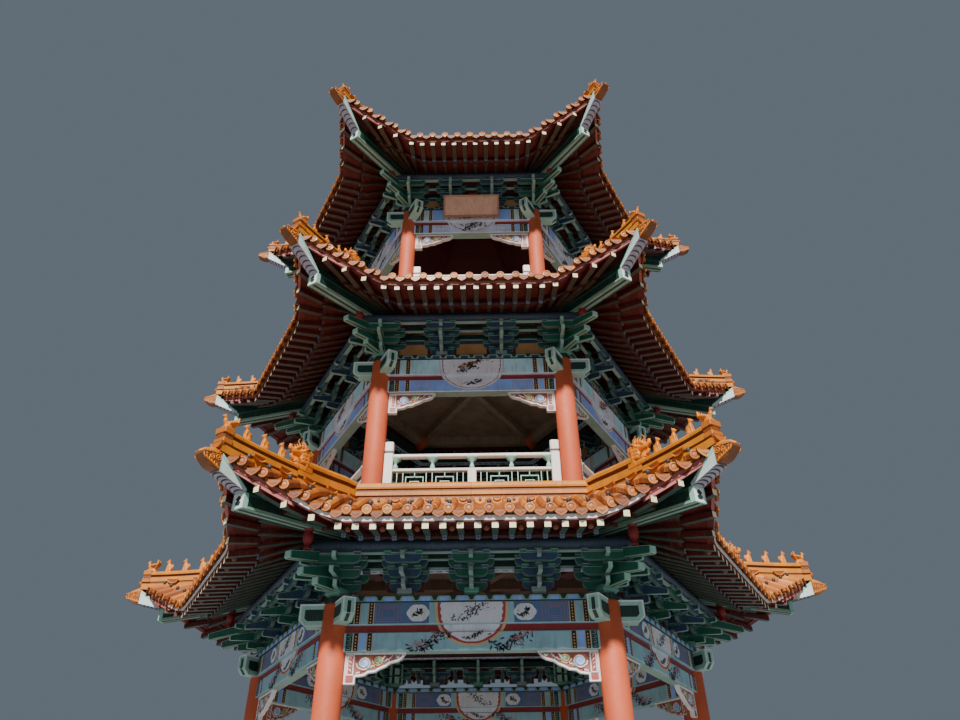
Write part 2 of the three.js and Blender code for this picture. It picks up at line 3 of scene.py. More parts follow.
import bpy
import numpy as np
from mathutils import Matrix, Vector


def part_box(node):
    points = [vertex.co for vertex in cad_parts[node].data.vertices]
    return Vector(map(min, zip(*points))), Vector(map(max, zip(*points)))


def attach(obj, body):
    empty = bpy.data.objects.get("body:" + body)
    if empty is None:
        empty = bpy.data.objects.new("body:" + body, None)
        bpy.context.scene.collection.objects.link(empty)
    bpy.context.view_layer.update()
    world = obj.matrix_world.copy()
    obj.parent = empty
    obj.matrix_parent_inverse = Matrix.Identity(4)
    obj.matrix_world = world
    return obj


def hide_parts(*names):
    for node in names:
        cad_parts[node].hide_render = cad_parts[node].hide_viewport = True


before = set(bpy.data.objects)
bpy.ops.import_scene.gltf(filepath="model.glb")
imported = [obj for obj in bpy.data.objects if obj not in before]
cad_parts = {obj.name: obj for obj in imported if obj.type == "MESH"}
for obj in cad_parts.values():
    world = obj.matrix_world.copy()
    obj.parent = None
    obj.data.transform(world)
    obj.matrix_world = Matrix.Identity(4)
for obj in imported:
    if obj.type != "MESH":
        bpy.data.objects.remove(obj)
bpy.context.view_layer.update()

# Sizes of the building, in metres
SIDES = 6
TAN30 = math.tan(math.pi / 6)
COS30 = math.cos(math.pi / 6)
OVERHANG = 1.76        # eave edge beyond the column line, in the middle of a side
TILE_EDGE = 0.05       # tiles beyond that edge
PURLIN_OUT = 0.52      # eave purlin beyond the column line
PURLIN_RADIUS = 0.09
PLATE = 0.10           # flat board on top of the ring beam
EAVE_THICK = 0.24      # rafters, boards and tile bed at the eave edge
APEX = 18.9
TILE_ROW = 0.293       # barrel tile rows, middle to middle
TILE_STEP = 0.30       # joints of a tile row
RAFTER_ROW = 0.25      # rafters, middle to middle
RAFTER = 0.095         # thickness of a flying rafter
RAFTER_SEAT = 0.88     # underside of the lower rafters on the purlin, over the ring beam
RAFTER_REACH = 1.26    # their ends beyond the column line
RAFTER_SAG = 0.055     # rafters below the line of the tiles, half way up to the corner
RIDGE_RISE = 0.48      # hip ridges behind the large beast
RIDGE_STEP = 1.80      # the large beast, in from the eave corner
RIDGE_END = 0.29       # the blunt end of the hip ridge, in from the eave corner
HUB_REACH = 0.2        # tiles of the top roof end here, under the hub
COURSES = ((4.75, 0.0, 0.15), (4.40, 0.145, 0.30))  # stone base: apothem, lowest and highest

# Shares of the half side where an eave ring has its sections
SHARES = np.array([-1, -0.9, -0.8, -0.7, -0.62, -0.56, -0.5, -0.42, 0, 0.42, 0.5, 0.56, 0.62, 0.7, 0.8, 0.9])
random = np.random.default_rng(20)


class Storey:
    """Sizes of one storey and the surface of its roof.

    ring: columns from the axis; column: their thickness; foot: where they start; beam: lowest and
    highest of the ring beam; low: underside of the eave over the beam; tip: eave corner from the
    axis; nose: underside of the lower corner beam's end; rise: lift of the eave corner; level:
    share of the side that stays level; front: height of the hip ridge in front of the large beast;
    sets: bracket sets between two columns; rafters: parallel ones on half a side; floor: the floor
    above the roof; above: ring and thickness of the columns there.

    Side frame: u along the side, v out from the axis, z up. A roof point has a distance d from
    the axis and a share s of the half side. Towards the corners it moves out and up by climb(s),
    times the share of the overhang that d has reached."""

    def __init__(self, name, ring, column, foot, beam, low, tip, nose, rise, level, front, sets, rafters,
                 floor=None, above=None):
        self.name, self.ring, self.column, self.foot = name, ring, column, foot
        self.beam_low, self.beam_top = beam
        self.low, self.tip, self.nose, self.rise = low, tip, nose, rise
        self.level, self.front, self.sets, self.rafters, self.floor = level, front, sets, rafters, floor
        self.a = ring * COS30
        self.half = ring / 2
        self.eave = self.a + OVERHANG
        self.edge = self.eave + TILE_EDGE
        self.out = (tip - 0.38) * COS30 - self.edge
        self.eave_z = self.beam_top + low
        self.inner = above[0] * COS30 + above[1] / 2 + 0.05 if above else HUB_REACH
        self.peak = floor + 0.1 if floor else APEX
        self.curve = 0.25 if floor else 0.38
        self.plate = self.beam_top + PLATE
        self.nose_out = tip - (0.85 if sets == 3 else 0.93)
        self.nose_slope = 0.135 if sets == 3 else 0.19
        slope = math.atan2(RAFTER_SEAT - low + 0.01, RAFTER_REACH - PURLIN_OUT)
        self.purlin = self.beam_top + RAFTER_SEAT - PURLIN_RADIUS / math.cos(slope)

    def climb(self, share):
        """Nought in the middle of a side and one at its corners: ramp(|s| - level) / ramp(1 - level),
        where ramp(x) is x plus the root of x squared plus 0.03 squared."""
        first, last = np.abs(share) - self.level, 1 - self.level
        return (first + np.sqrt(first ** 2 + 0.0009)) / (last + math.sqrt(last ** 2 + 0.0009))

    def sag(self, share):
        """How far rafters hang below the tiles: nought where climb is 0 or 1, most where it is a half."""
        lift = self.climb(share)
        return RAFTER_SAG * 4 * lift * (1 - lift)

    def over(self, d):
        """Height of the tiles in the middle of a side: a parabola from the eave to the inner edge."""
        t = (self.edge - d) / (self.edge - self.inner)
        start = self.eave_z + EAVE_THICK
        return start + (self.peak - start) * ((1 - self.curve) * t + self.curve * t * t)

    def reach(self, d):
        """The share of the overhang that d has reached."""
        return np.clip((d - self.a) / OVERHANG, 0, None)

    def width(self, d):
        """Half the length of a side at d, measured to the bent hip line."""
        return (d + self.out * self.reach(d)) * TAN30

    def bent(self, d, z, s):
        """Side-frame points of a profile (d, z) at the share s of the half side."""
        reach, lift = self.reach(d), self.climb(s)
        parts = (s * self.width(d), d + self.out * reach * lift, z + self.rise * reach * lift)
        return np.stack(np.broadcast_arrays(*parts), -1)

    def at(self, u, d, z):
        """The bent point that lies u along the side."""
        point = self.bent(d, z, np.clip(u / self.width(d), -1, 1))
        point[..., 0] = u
        return point

    def hip(self, u):
        """The distance d at which the hip line passes |u|."""
        w = abs(u) / TAN30
        return w if w < self.a else (w + self.out * self.a / OVERHANG) / (1 + self.out / OVERHANG)

    def corner(self, d, z):
        """Distance from the axis along the corner, and height, of the hip line over (d, z)."""
        reach = self.reach(np.asarray(d, float))
        return (d + self.out * reach) / COS30, z + self.rise * reach


GROUND = Storey("ground", ring=4.26, column=0.42, foot=0.43, beam=(4.16, 4.88), low=0.556, tip=7.41,
                nose=5.67, rise=0.67, level=0.56, front=0.35, sets=3, rafters=8, floor=6.65,
                above=(3.68, 0.40))
SECOND = Storey("second", ring=3.68, column=0.40, foot=5.841, beam=(9.14, 9.89), low=0.48, tip=6.82,
                nose=10.41, rise=0.635, level=0.50, front=0.33, sets=2, rafters=7, floor=11.6,
                above=(3.10, 0.355))
THIRD = Storey("third", ring=3.10, column=0.355, foot=10.851, beam=(14.06, 14.83), low=0.45, tip=6.31,
               nose=15.30, rise=0.685, level=0.46, front=0.24, sets=2, rafters=6)
STOREYS = (GROUND, SECOND, THIRD)


# Forms: points, and groups of faces that have a finish
class Form:
    """Points, groups of faces (corner numbers, finish, smooth or not) and a tint from 0 to 1 for each
    point."""

    def __init__(self, points, groups, tint=0.5):
        self.points = np.asarray(points, float).reshape(-1, 3)
        self.groups = groups
        self.tint = np.broadcast_to(np.asarray(tint, float), len(self.points)).copy()


def ring_faces(rows, columns, close_rows=False):
    """Quads of a grid whose rows are closed rings: each joins a point to its neighbours in the next
    row and the next column."""
    i = np.arange(rows if close_rows else rows - 1)[:, None]
    j = np.arange(columns)[None, :]
    after_i, after_j = (i + 1) % rows, (j + 1) % columns
    corners = (i * columns + j, i * columns + after_j, after_i * columns + after_j, after_i * columns + j)
    return np.stack(np.broadcast_arrays(*corners), -1).reshape(-1, 4)


def volume(form):
    """Six times the enclosed volume: the sum over fans of triangles of p0 . (p1 x p2)."""
    total, p = 0.0, form.points - form.points.mean(0)
    for faces, _, _ in form.groups:
        for k in range(1, faces.shape[1] - 1):
            total += np.einsum("ij,ij->", p[faces[:, 0]], np.cross(p[faces[:, k]], p[faces[:, k + 1]]))
    return total


def outward(form):
    """The same closed form with its faces turned outwards."""
    if volume(form) < 0:
        form.groups = [(faces[:, ::-1], finish, smooth) for faces, finish, smooth in form.groups]
    return form


def joined(forms):
    """One form of several."""
    start, groups = 0, []
    for form in forms:
        groups += [(faces + start, finish, smooth) for faces, finish, smooth in form.groups]
        start += len(form.points)
    return Form(np.concatenate([f.points for f in forms]), groups, np.concatenate([f.tint for f in forms]))


def copies(form, turns, shifts=0.0, tints=None):
    """Copies of a form: each point p becomes turn times p plus shift."""
    turns = np.asarray(turns, float).reshape(-1, 3, 3)
    shifts = np.broadcast_to(np.asarray(shifts, float), (len(turns), 3))
    points = np.einsum("tij,nj->tni", turns, form.points) + shifts[:, None]
    step = np.arange(len(turns))[:, None, None] * len(form.points)
    back = -1 if np.linalg.det(turns[0]) < 0 else 1
    groups = []
    for faces, finish, smooth in form.groups:
        groups.append(((faces[None] + step).reshape(-1, faces.shape[1])[:, ::back], finish, smooth))
    tint = np.tile(form.tint, len(turns)) if tints is None else np.repeat(tints, len(form.points))
    return Form(points.reshape(-1, 3), groups, tint)


def shell(sections, finish, ends=None, smooth=False, loop=False):
    """A closed surface through sections of equal point counts, its ends closed by flat faces.
    One finish for all of it, or one for each edge of the section."""
    sections = np.asarray(sections, float)
    n, k = sections.shape[:2]
    faces = ring_faces(n, k, loop)
    if isinstance(finish, str):
        groups = [(faces, finish, smooth)]
    else:
        kinds = np.tile(np.array(finish), n if loop else n - 1)
        groups = [(faces[kinds == kind], kind, smooth) for kind in sorted(set(finish))]
    if not loop:
        caps = np.array([np.arange(k)[::-1], np.arange(k) + (n - 1) * k])
        groups.append((caps, ends or groups[0][1], False))
    return outward(Form(sections.reshape(-1, 3), groups))


def rectangle(x0, x1, z0, z1):
    """The outline of an upright rectangle."""
    return [(x0, z0), (x1, z0), (x1, z1), (x0, z1)]


def circle(count, start=0.0):
    """Angles in even steps round a circle."""
    return start + np.arange(count) * 2 * np.pi / count


def arc(across, up, angles):
    """Points (across cos t, up sin t) for each angle t."""
    return np.stack([across * np.cos(angles), up * np.sin(angles)], -1)


def mirrored(right):
    """An outline from its right half: the same points again on the left, in reverse."""
    return list(right) + [(-x, z) for x, z in right[::-1]]


def level_rings(outline, heights):
    """A level outline repeated at each height."""
    return [np.column_stack([outline, np.full(len(outline), z)]) for z in heights]


def box(low, high, finish, chamfer=0.0):
    """A box between two corners. With a chamfer its upright and level edges are cut."""
    low, high = np.array(low, float), np.array(high, float)
    if not chamfer:
        return shell(level_rings(rectangle(low[0], high[0], low[1], high[1]), (low[2], high[2])), finish)
    c, middle = chamfer, (low + high) / 2
    x = np.array([low[0] + c, high[0] - c, high[0], high[0], high[0] - c, low[0] + c, low[0], low[0]])
    y = np.array([low[1], low[1], low[1] + c, high[1] - c, high[1], high[1], high[1] - c, low[1] + c])
    outline = np.column_stack([x, y]) - middle[:2]
    small = (1 - 2 * c / (high - low))[:2]
    rings = []
    for z, share in ((low[2], small), (low[2] + c, 1), (high[2] - c, 1), (high[2], small)):
        rings += level_rings(middle[:2] + outline * share, [z])
    return shell(rings, finish)


def lathe(profile, segments, finish, smooth=True):
    """A form turned about the z axis: (r cos t, r sin t, z) for each (r, z) of the profile."""
    t = circle(segments)
    r, z = np.array(profile, float).T[..., None]
    return shell(np.stack([r * np.cos(t), r * np.sin(t), z + 0 * t], -1), finish, smooth=smooth)


def ball(centre, radii, finish, rows=7, segments=10):
    """An ellipsoid: (a sin p cos t, b sin p sin t, c cos p) about its centre."""
    p = np.linspace(0.18, np.pi - 0.18, rows)[:, None]
    t = circle(segments)
    rings = np.stack([np.sin(p) * np.cos(t), np.sin(p) * np.sin(t), np.cos(p) * np.ones_like(t)], -1)
    return shell(rings * np.array(radii) + np.array(centre), finish, smooth=True)


def limb(points, radii, finish, segments=8):
    """A tapering round tube along a line of points, each ring square to the line there."""
    points = np.array(points, float)
    radii = np.broadcast_to(np.array(radii, float), len(points))
    along = np.gradient(points, axis=0)
    along /= np.linalg.norm(along, axis=1)[:, None]
    guide = np.where(np.abs(along[:, :1]) < 0.8, [[1.0, 0, 0]], [[0, 1.0, 0]])
    side = np.cross(along, guide)
    side /= np.linalg.norm(side, axis=1)[:, None]
    other = np.cross(along, side)
    t = circle(segments)
    ring = side[:, None] * np.cos(t)[None, :, None] + other[:, None] * np.sin(t)[None, :, None]
    return shell(points[:, None] + ring * radii[:, None, None], finish, smooth=True)


def inset(outline, width):
    """The outline moved inwards by a width: each corner along its mitre."""
    p = np.array(outline, float)
    before, after = p - np.roll(p, 1, 0), np.roll(p, -1, 0) - p
    before /= np.linalg.norm(before, axis=1)[:, None]
    after /= np.linalg.norm(after, axis=1)[:, None]
    area = np.sum(p[:, 0] * np.roll(p[:, 1], -1) - np.roll(p[:, 0], -1) * p[:, 1])
    normal = np.stack([-(before + after)[:, 1], (before + after)[:, 0]], -1) * np.sign(area)
    length = np.linalg.norm(normal, axis=1)[:, None]
    normal /= np.maximum(length, 1e-6)
    half = np.clip(length[:, 0] / 2, 0.45, 1)
    return p + normal * (width / half)[:, None]


def board(outline, depth, finish, edge=None, border=0.0, line=None, relief=0.004):
    """A board with its outline in x and z, as thick as depth along y about 0. With a border, a line
    of that width runs round both faces and the field inside it is sunk by the relief."""
    def at_depth(points, y):
        """Outline points in x and z, set at y."""
        return np.stack([points[:, 0], np.full(len(points), y), points[:, 1]], -1)

    outline = np.array(outline, float)
    edge, line, k, y = edge or finish, line or finish, len(outline), depth / 2
    outer = [at_depth(outline, -y), at_depth(outline, y)]
    if not border:
        return shell(outer, edge, ends=finish)
    inner = inset(outline, border)
    rings = np.array([at_depth(inner, relief - y), *outer, at_depth(inner, y - relief)])
    faces = ring_faces(4, k)
    groups = [(faces[:k], line, False), (faces[k:2 * k], edge, False), (faces[2 * k:], line, False)]
    groups.append((np.array([np.arange(k)[::-1], np.arange(k) + 3 * k]), finish, False))
    return outward(Form(rings.reshape(-1, 3), groups))


def side_turns(offset=0.0):
    """Turns from the side frame (u, v, z), or from the corner frame (across, out, z), to the building."""
    t = circle(SIDES, offset)
    zero, one = np.zeros(SIDES), np.ones(SIDES)
    rows = [np.cos(t), np.sin(t), zero, np.sin(t), -np.cos(t), zero, zero, zero, one]
    return np.stack(rows, -1).reshape(-1, 3, 3)


AT_SIDES = side_turns()
AT_CORNERS = side_turns(np.pi / 6)
SWAP = np.array([[0, 1, 0], [1, 0, 0], [0, 0, 1.0]])
MIRROR = np.diag([-1.0, 1, 1])
PLAIN = np.eye(3)


def placed(form, shifts, turn=PLAIN, tints=None):
    """Copies of a form at each shift, all with one turn."""
    shifts = np.asarray(shifts, float).reshape(-1, 3)
    return copies(form, np.broadcast_to(turn, (len(shifts), 3, 3)), shifts, tints)


def on_sides(form):
    """The form on all six sides."""
    return copies(form, AT_SIDES)


def on_corners(form):
    """The form on all six corners."""
    return copies(form, AT_CORNERS)


def both_ways(form):
    """The form and its mirror image left to right."""
    return joined([form, copies(form, MIRROR)])


def six_places(radius):
    """The six corners of the hexagon on a circle round the axis."""
    return np.column_stack([arc(radius, radius, circle(SIDES)), np.zeros(SIDES)])


def hexagon_ring(profile, finish, smooth=False):
    """A closed hexagonal ring with a section (v, z): each point lies at v / cos 30 on the corners."""
    v, z = np.array(profile, float).T
    t = circle(SIDES)[:, None]
    points = np.stack(np.broadcast_arrays(v / COS30 * np.cos(t), v / COS30 * np.sin(t), z), -1)
    return shell(points, finish, smooth=smooth, loop=True)


def ring_bar(v, half, low, high, finish):
    """A hexagonal ring of a rectangular bar, as far out as v."""
    return hexagon_ring(rectangle(v - half, v + half, low, high), finish)


def round_sides(side, finish):
    """A closed ring from the sections of one side, repeated on all six."""
    points = np.einsum("kij,snj->ksni", AT_SIDES, side).reshape(-1, side.shape[1], 3)
    return shell(points, finish, loop=True)


def eave_ring(storey, profile, finish):
    """A closed ring round the eaves whose section (d, z) is bent out and up towards the corners."""
    d, z = np.array(profile, float).T
    return round_sides(storey.bent(d[None], z[None], SHARES[:, None]), finish)


# Finishes
def colour(code):
    """A linear colour from a six-figure code."""
    values = [int(code[i:i + 2], 16) / 255 for i in (0, 2, 4)]
    return [v / 12.92 if v <= 0.04045 else ((v + 0.055) / 1.055) ** 2.4 for v in values] + [1.0]


class Wiring:
    """A shader group while it is made. A value that goes into a node is a number, a colour or a socket."""

    def __init__(self, name, inputs, outputs):
        self.group = bpy.data.node_groups.new(name, "ShaderNodeTree")
        for socket, kind, value in inputs:
            made = self.group.interface.new_socket(socket, in_out="INPUT", socket_type=kind)
            made.default_value = value
        for socket, kind in outputs:
            self.group.interface.new_socket(socket, in_out="OUTPUT", socket_type=kind)
        self.source = self.group.nodes.new("NodeGroupInput").outputs
        self.sink = self.group.nodes.new("NodeGroupOutput").inputs

    def node(self, kind, values=(), **settings):
        """A node with its settings, and a value put into each of its inputs."""
        made = self.group.nodes.new(kind)
        for setting, choice in settings.items():
            setattr(made, setting, choice)
        for socket, value in values:
            self.put(value, made.inputs[socket])
        return made.outputs

    def put(self, value, socket):
        """Links a socket to an input, or sets the input to a number or a colour."""
        if isinstance(value, bpy.types.NodeSocket):
            self.group.links.new(value, socket)
        else:
            socket.default_value = value

    def spread(self, value, low, high, out_low, out_high):
        """The value stretched from one range to another, and held at its ends."""
        ranges = (("From Min", low), ("From Max", high), ("To Min", out_low), ("To Max", out_high))
        return self.node("ShaderNodeMapRange", [("Value", value), *ranges])["Result"]

    def combined(self, operation, first, second):
        """Two values put together by one sum or product."""
        return self.node("ShaderNodeMath", [(0, first), (1, second)], operation=operation)[0]

    def mixed(self, blend, factor, first, second):
        """The second colour laid over the first by the factor."""
        values = [("Factor", factor), (6, first), (7, second)]
        return self.node("ShaderNodeMix", values, data_type="RGBA", blend_type=blend)[2]


def weathering_group():
    """Fading, dust and fine grain for paint, stone and glaze: a wide noise darkens and pales the
    colour, a fine one gives the roughness and the height, and downward streaks carry the dust."""
    wiring = Wiring(
        "weathering",
        [("Color", "NodeSocketColor", (0.5, 0.5, 0.5, 1)), ("Dust", "NodeSocketColor", (0.4, 0.35, 0.3, 1)),
         ("Wear", "NodeSocketFloat", 0.3), ("Scale", "NodeSocketFloat", 3.0),
         ("Rough", "NodeSocketFloat", 0.5)],
        [("Color", "NodeSocketColor"), ("Roughness", "NodeSocketFloat"), ("Height", "NodeSocketFloat")])
    source, sink, combined = wiring.source, wiring.sink, wiring.combined
    place = wiring.node("ShaderNodeTexCoord")["Object"]
    streaked = wiring.node("ShaderNodeMapping", [("Scale", (3.0, 3.0, 0.45)), ("Vector", place)])["Vector"]
    noises = []
    for factor, detail, vector in ((1.0, 5, place), (14.0, 4, place), (2.2, 4, streaked)):
        scale = combined("MULTIPLY", source["Scale"], factor)
        values = [("Detail", detail), ("Scale", scale), ("Vector", vector)]
        noises.append(wiring.node("ShaderNodeTexNoise", values)["Fac"])
    wide, fine, streaks = noises

    def worn(noise, low, high, out_low, out_high):
        """A stretched noise times the wear."""
        return combined("MULTIPLY", wiring.spread(noise, low, high, out_low, out_high), source["Wear"])

    shaded = wiring.mixed("MULTIPLY", worn(wide, 0.42, 0.68, 0.0, 1.0), source["Color"], (0.55, 0.52, 0.5, 1))
    dusted = wiring.mixed("MIX", worn(streaks, 0.52, 0.78, 0.0, 1.0), shaded, source["Dust"])
    specked = wiring.mixed("MULTIPLY", worn(fine, 0.55, 0.75, 0.0, 0.6), dusted, (0.45, 0.42, 0.4, 1))
    wiring.put(specked, sink["Color"])
    wiring.put(combined("ADD", source["Rough"], worn(fine, 0.3, 0.7, -0.1, 0.2)), sink["Roughness"])
    wiring.put(combined("ADD", fine, combined("MULTIPLY", wide, 1.5)), sink["Height"])
    return wiring.group


def tint_group():
    """A colour between two, chosen by each tile's own tint. The highest tints are faded tiles."""
    wiring = Wiring(
        "tile_tint",
        [("Pale", "NodeSocketColor", (0.8, 0.5, 0.2, 1)), ("Deep", "NodeSocketColor", (0.5, 0.2, 0.05, 1)),
         ("Faded", "NodeSocketColor", (0.8, 0.6, 0.5, 1))],
        [("Color", "NodeSocketColor")])
    tint = wiring.node("ShaderNodeAttribute", attribute_name="tint")["Fac"]
    glazed = wiring.mixed("MIX", tint, wiring.source["Deep"], wiring.source["Pale"])
    faded = wiring.spread(tint, 0.78, 0.95, 0.0, 0.8)
    wiring.put(wiring.mixed("MIX", faded, glazed, wiring.source["Faded"]), wiring.sink["Color"])
    return wiring.group


WEATHERING = weathering_group()
TILE_TINT = tint_group()


def finish_material(name, code, rough=0.5, wear=0.4, scale=3.0, dust="6b6258", bump=0.004, coat=0.0,
                    tint=None):
    """A painted, glazed or stone finish: its colour through the weathering, and a bump from the same
    noise."""
    material = bpy.data.materials.new(name)
    material.use_nodes = True
    nodes, links = material.node_tree.nodes, material.node_tree.links
    shader = nodes["Principled BSDF"]
    aged = nodes.new("ShaderNodeGroup")
    aged.node_tree = WEATHERING
    aged.inputs["Color"].default_value = colour(code)
    aged.inputs["Dust"].default_value = colour(dust)
    for socket, value in (("Wear", wear), ("Scale", scale), ("Rough", rough)):
        aged.inputs[socket].default_value = value
    if tint:
        chosen = nodes.new("ShaderNodeGroup")
        chosen.node_tree = TILE_TINT
        for socket, shade in zip(("Pale", "Deep", "Faded"), (code, *tint)):
            chosen.inputs[socket].default_value = colour(shade)
        links.new(chosen.outputs["Color"], aged.inputs["Color"])
    height = nodes.new("ShaderNodeBump")
    height.inputs["Strength"].default_value = 0.5
    height.inputs["Distance"].default_value = bump
    links.new(aged.outputs["Height"], height.inputs["Height"])
    links.new(aged.outputs["Color"], shader.inputs["Base Color"])
    links.new(aged.outputs["Roughness"], shader.inputs["Roughness"])
    links.new(height.outputs["Normal"], shader.inputs["Normal"])
    shader.inputs["Coat Weight"].default_value = coat
    shader.inputs["Coat Roughness"].default_value = 0.15
    return material


# Glazes: colour, and the colours of deep and faded tiles
GLAZE = dict(rough=0.54, wear=0.42, scale=2.0, dust="80552e", bump=0.0015, coat=0.05)
GLAZES = {
    # The pan tile glaze is a darker copy of the tile glaze: painted shade between the barrel rows.
    "tile": ("dc8626", ("93460e", "dc9050")), "tile_pan": ("a8601e", ("6e300a", "a8704a")),
    "tile_cap": ("cc741a", ("ac5c14", "dc9448")), "tile_deep": ("ac6020", ("7c3a0e", "c07840")),
    "ridge": ("dc880a", ("bc700c", "e29420")), "ridge_dark": ("7e4212", None), "figure": ("de8218", None),
}
# Paints and bare boards: colour, roughness and wear
PAINTS = {
    "nail": ("3b3a3c", 0.5, 0.4), "mortar": ("7c6a5c", 0.9, 0.8), "lamp": ("7c4226", 0.5, 0.3),
    "white_line": ("f2ece8", 0.6, 0.25), "red_board": ("641b12", 0.6, 0.4), "red_dark": ("3c1512", 0.6, 0.4),
    # The pink eave board colour is the red board painted lighter, as painted sunlight.
    "eave_red": ("b8645c", 0.6, 0.4), "rafter": ("2c4c42", 0.5, 0.5), "rafter_old": ("443e30", 0.5, 0.5),
    "rafter_red": ("5c1911", 0.5, 0.4), "rafter_end": ("f2ecc0", 0.5, 0.2),
    "rafter_eye": ("5c7292", 0.5, 0.3), "slate": ("304456", 0.55, 0.4),
    "green": ("1e6652", 0.5, 0.4), "green_deep": ("143a31", 0.5, 0.4),
    "green_pale": ("86ab94", 0.5, 0.4), "blue": ("33506b", 0.5, 0.4), "pale_line": ("8fb0a4", 0.5, 0.3),
    "arm_under": ("54766c", 0.5, 0.4), "mint": ("9fd0c0", 0.5, 0.3), "mint_deep": ("5fa08c", 0.5, 0.4),
    "pale_mint": ("c8e0dc", 0.5, 0.3), "lilac": ("a9a3ae", 0.55, 0.4), "white_paint": ("e6eaea", 0.5, 0.3),
    "grey_paint": ("8f979c", 0.5, 0.4), "red_infill": ("5c1a1c", 0.5, 0.4), "beige": ("b98552", 0.7, 0.5),
    "sky_blue": ("cfe6ff", 0.5, 0.4), "teal": ("c0ecf6", 0.5, 0.4), "deep_blue": ("94b8fc", 0.5, 0.3),
    "old_blue": ("5c749e", 0.5, 0.4), "old_teal": ("98c4d0", 0.5, 0.4), "strip_red": ("8c2b2a", 0.5, 0.3),
    "gold_line": ("d8bd85", 0.45, 0.3), "picture": ("e2e4ea", 0.6, 0.25), "ink": ("2c3644", 0.6, 0.2),
    "ink_green": ("5f6a45", 0.6, 0.2), "blossom": ("c88a95", 0.6, 0.2), "scallop_red": ("b04450", 0.5, 0.2),
    "fret_pink": ("b5757a", 0.5, 0.2), "brace_field": ("a8604e", 0.5, 0.4), "cap_brown": ("824818", 0.4, 0.5),
    "ceiling": ("ac9880", 0.8, 0.6), "ceiling_dark": ("6e5442", 0.8, 0.6), "plaque": ("d6ac92", 0.6, 0.4),
    "plaque_edge": ("b08468", 0.6, 0.4), "stone_joint": ("6b665f", 0.9, 0.5),
}
FINISHES = {
    "column": dict(code="d4623c", rough=0.62, wear=0.3, scale=1.2, dust="b04e28", bump=0.003),
    "marble": dict(code="ece3dc", rough=0.4, wear=0.3, dust="a89a90"),
    "stone": dict(code="a9a49a", rough=0.8, wear=0.6, dust="77706a", bump=0.012),
}
FINISHES |= {name: dict(code=code, tint=tint, **GLAZE) for name, (code, tint) in GLAZES.items()}
FINISHES |= {name: dict(code=code, rough=rough, wear=wear) for name, (code, rough, wear) in PAINTS.items()}
MATERIALS = {}


def material_of(finish):
    """The material of a finish, made when it is first used."""
    if finish not in MATERIALS:
        MATERIALS[finish] = finish_material(finish, **FINISHES[finish])
    return MATERIALS[finish]


def piece(name, form, replaces=()):
    """Puts a form into the scene as one mesh that rides with the building."""
    mesh = bpy.data.meshes.new(name)
    faces = [faces for faces, _, _ in form.groups]
    sizes = np.concatenate([np.full(len(f), f.shape[1]) for f in faces])
    corners = np.concatenate([f.ravel() for f in faces])
    mesh.vertices.add(len(form.points))
    mesh.vertices.foreach_set("co", form.points.astype(np.float32).ravel())
    mesh.loops.add(len(corners))
    mesh.loops.foreach_set("vertex_index", corners.astype(np.int32))
    mesh.polygons.add(len(sizes))
    mesh.polygons.foreach_set("loop_start", (np.cumsum(sizes) - sizes).astype(np.int32))
    names = sorted({finish for _, finish, _ in form.groups})
    index = np.concatenate([np.full(len(f), names.index(finish)) for f, finish, _ in form.groups])
    smooth = np.concatenate([np.full(len(f), is_smooth) for f, _, is_smooth in form.groups])
    mesh.polygons.foreach_set("material_index", index.astype(np.int32))
    mesh.polygons.foreach_set("use_smooth", smooth.astype(bool))
    tint = mesh.attributes.new("tint", "FLOAT", "POINT")
    tint.data.foreach_set("value", form.tint.astype(np.float32))
    for finish in names:
        mesh.materials.append(material_of(finish))
    mesh.update(calc_edges=True)
    made = bpy.data.objects.new(name, mesh)
    bpy.context.scene.collection.objects.link(made)
    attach(made, "root")
    if replaces:
        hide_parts(*replaces)
    return made


# Tiles
def row_path(storey, u, lift):
    """Points of a tile row from the eave up to the hip or the storey above, two at each joint, the
    directions of the row there and the number of its tiles."""
    top = max(storey.inner + 0.01, storey.hip(u))
    d = np.linspace(storey.edge + 0.03, top, 60)
    line = storey.at(u, d, storey.over(d) + lift)
    length = np.concatenate([[0], np.cumsum(np.linalg.norm(np.diff(line, axis=0), axis=1))])
    count = max(1, int(round(length[-1] / TILE_STEP)))
    joints = np.repeat(np.linspace(0, length[-1], count + 1), 2)[1:-1]
    behind, points, ahead = (np.stack([np.interp(joints + step, length, axis) for axis in line.T], -1)
                             for step in (-0.02, 0, 0.02))
    along = ahead - behind
    return points, along / np.linalg.norm(along, axis=1)[:, None], count


def square_frames(along):
    """For each direction up the roof, the level one across it and the one square to the tiles."""
    across = np.cross(along, [0, 0, 1.0])
    across /= np.linalg.norm(across, axis=1)[:, None]
    across = np.where(across[:, :1] < 0, -across, across)
    up = np.cross(across, along)
    return across, np.where(up[:, 2:] < 0, -up, up)


def tile_strip(storey, u, section, lift, finish):
    """A row of lapped tiles: a closed section carried up the row, a little larger at the lower end of
    each tile."""
    lower_end, upper_end = 1.0, 0.93
    points, along, count = row_path(storey, u, lift)
    across, up = square_frames(along)
    grow = np.tile((lower_end, upper_end), count)[:, None, None]
    section = np.array(section)
    wide, high = section[None, :, :1] * across[:, None], section[None, :, 1:] * up[:, None]
    form = shell(points[:, None] + grow * wide + grow * high, finish)
    form.tint[:] = np.repeat(random.random(count), 2 * len(section))
    return form


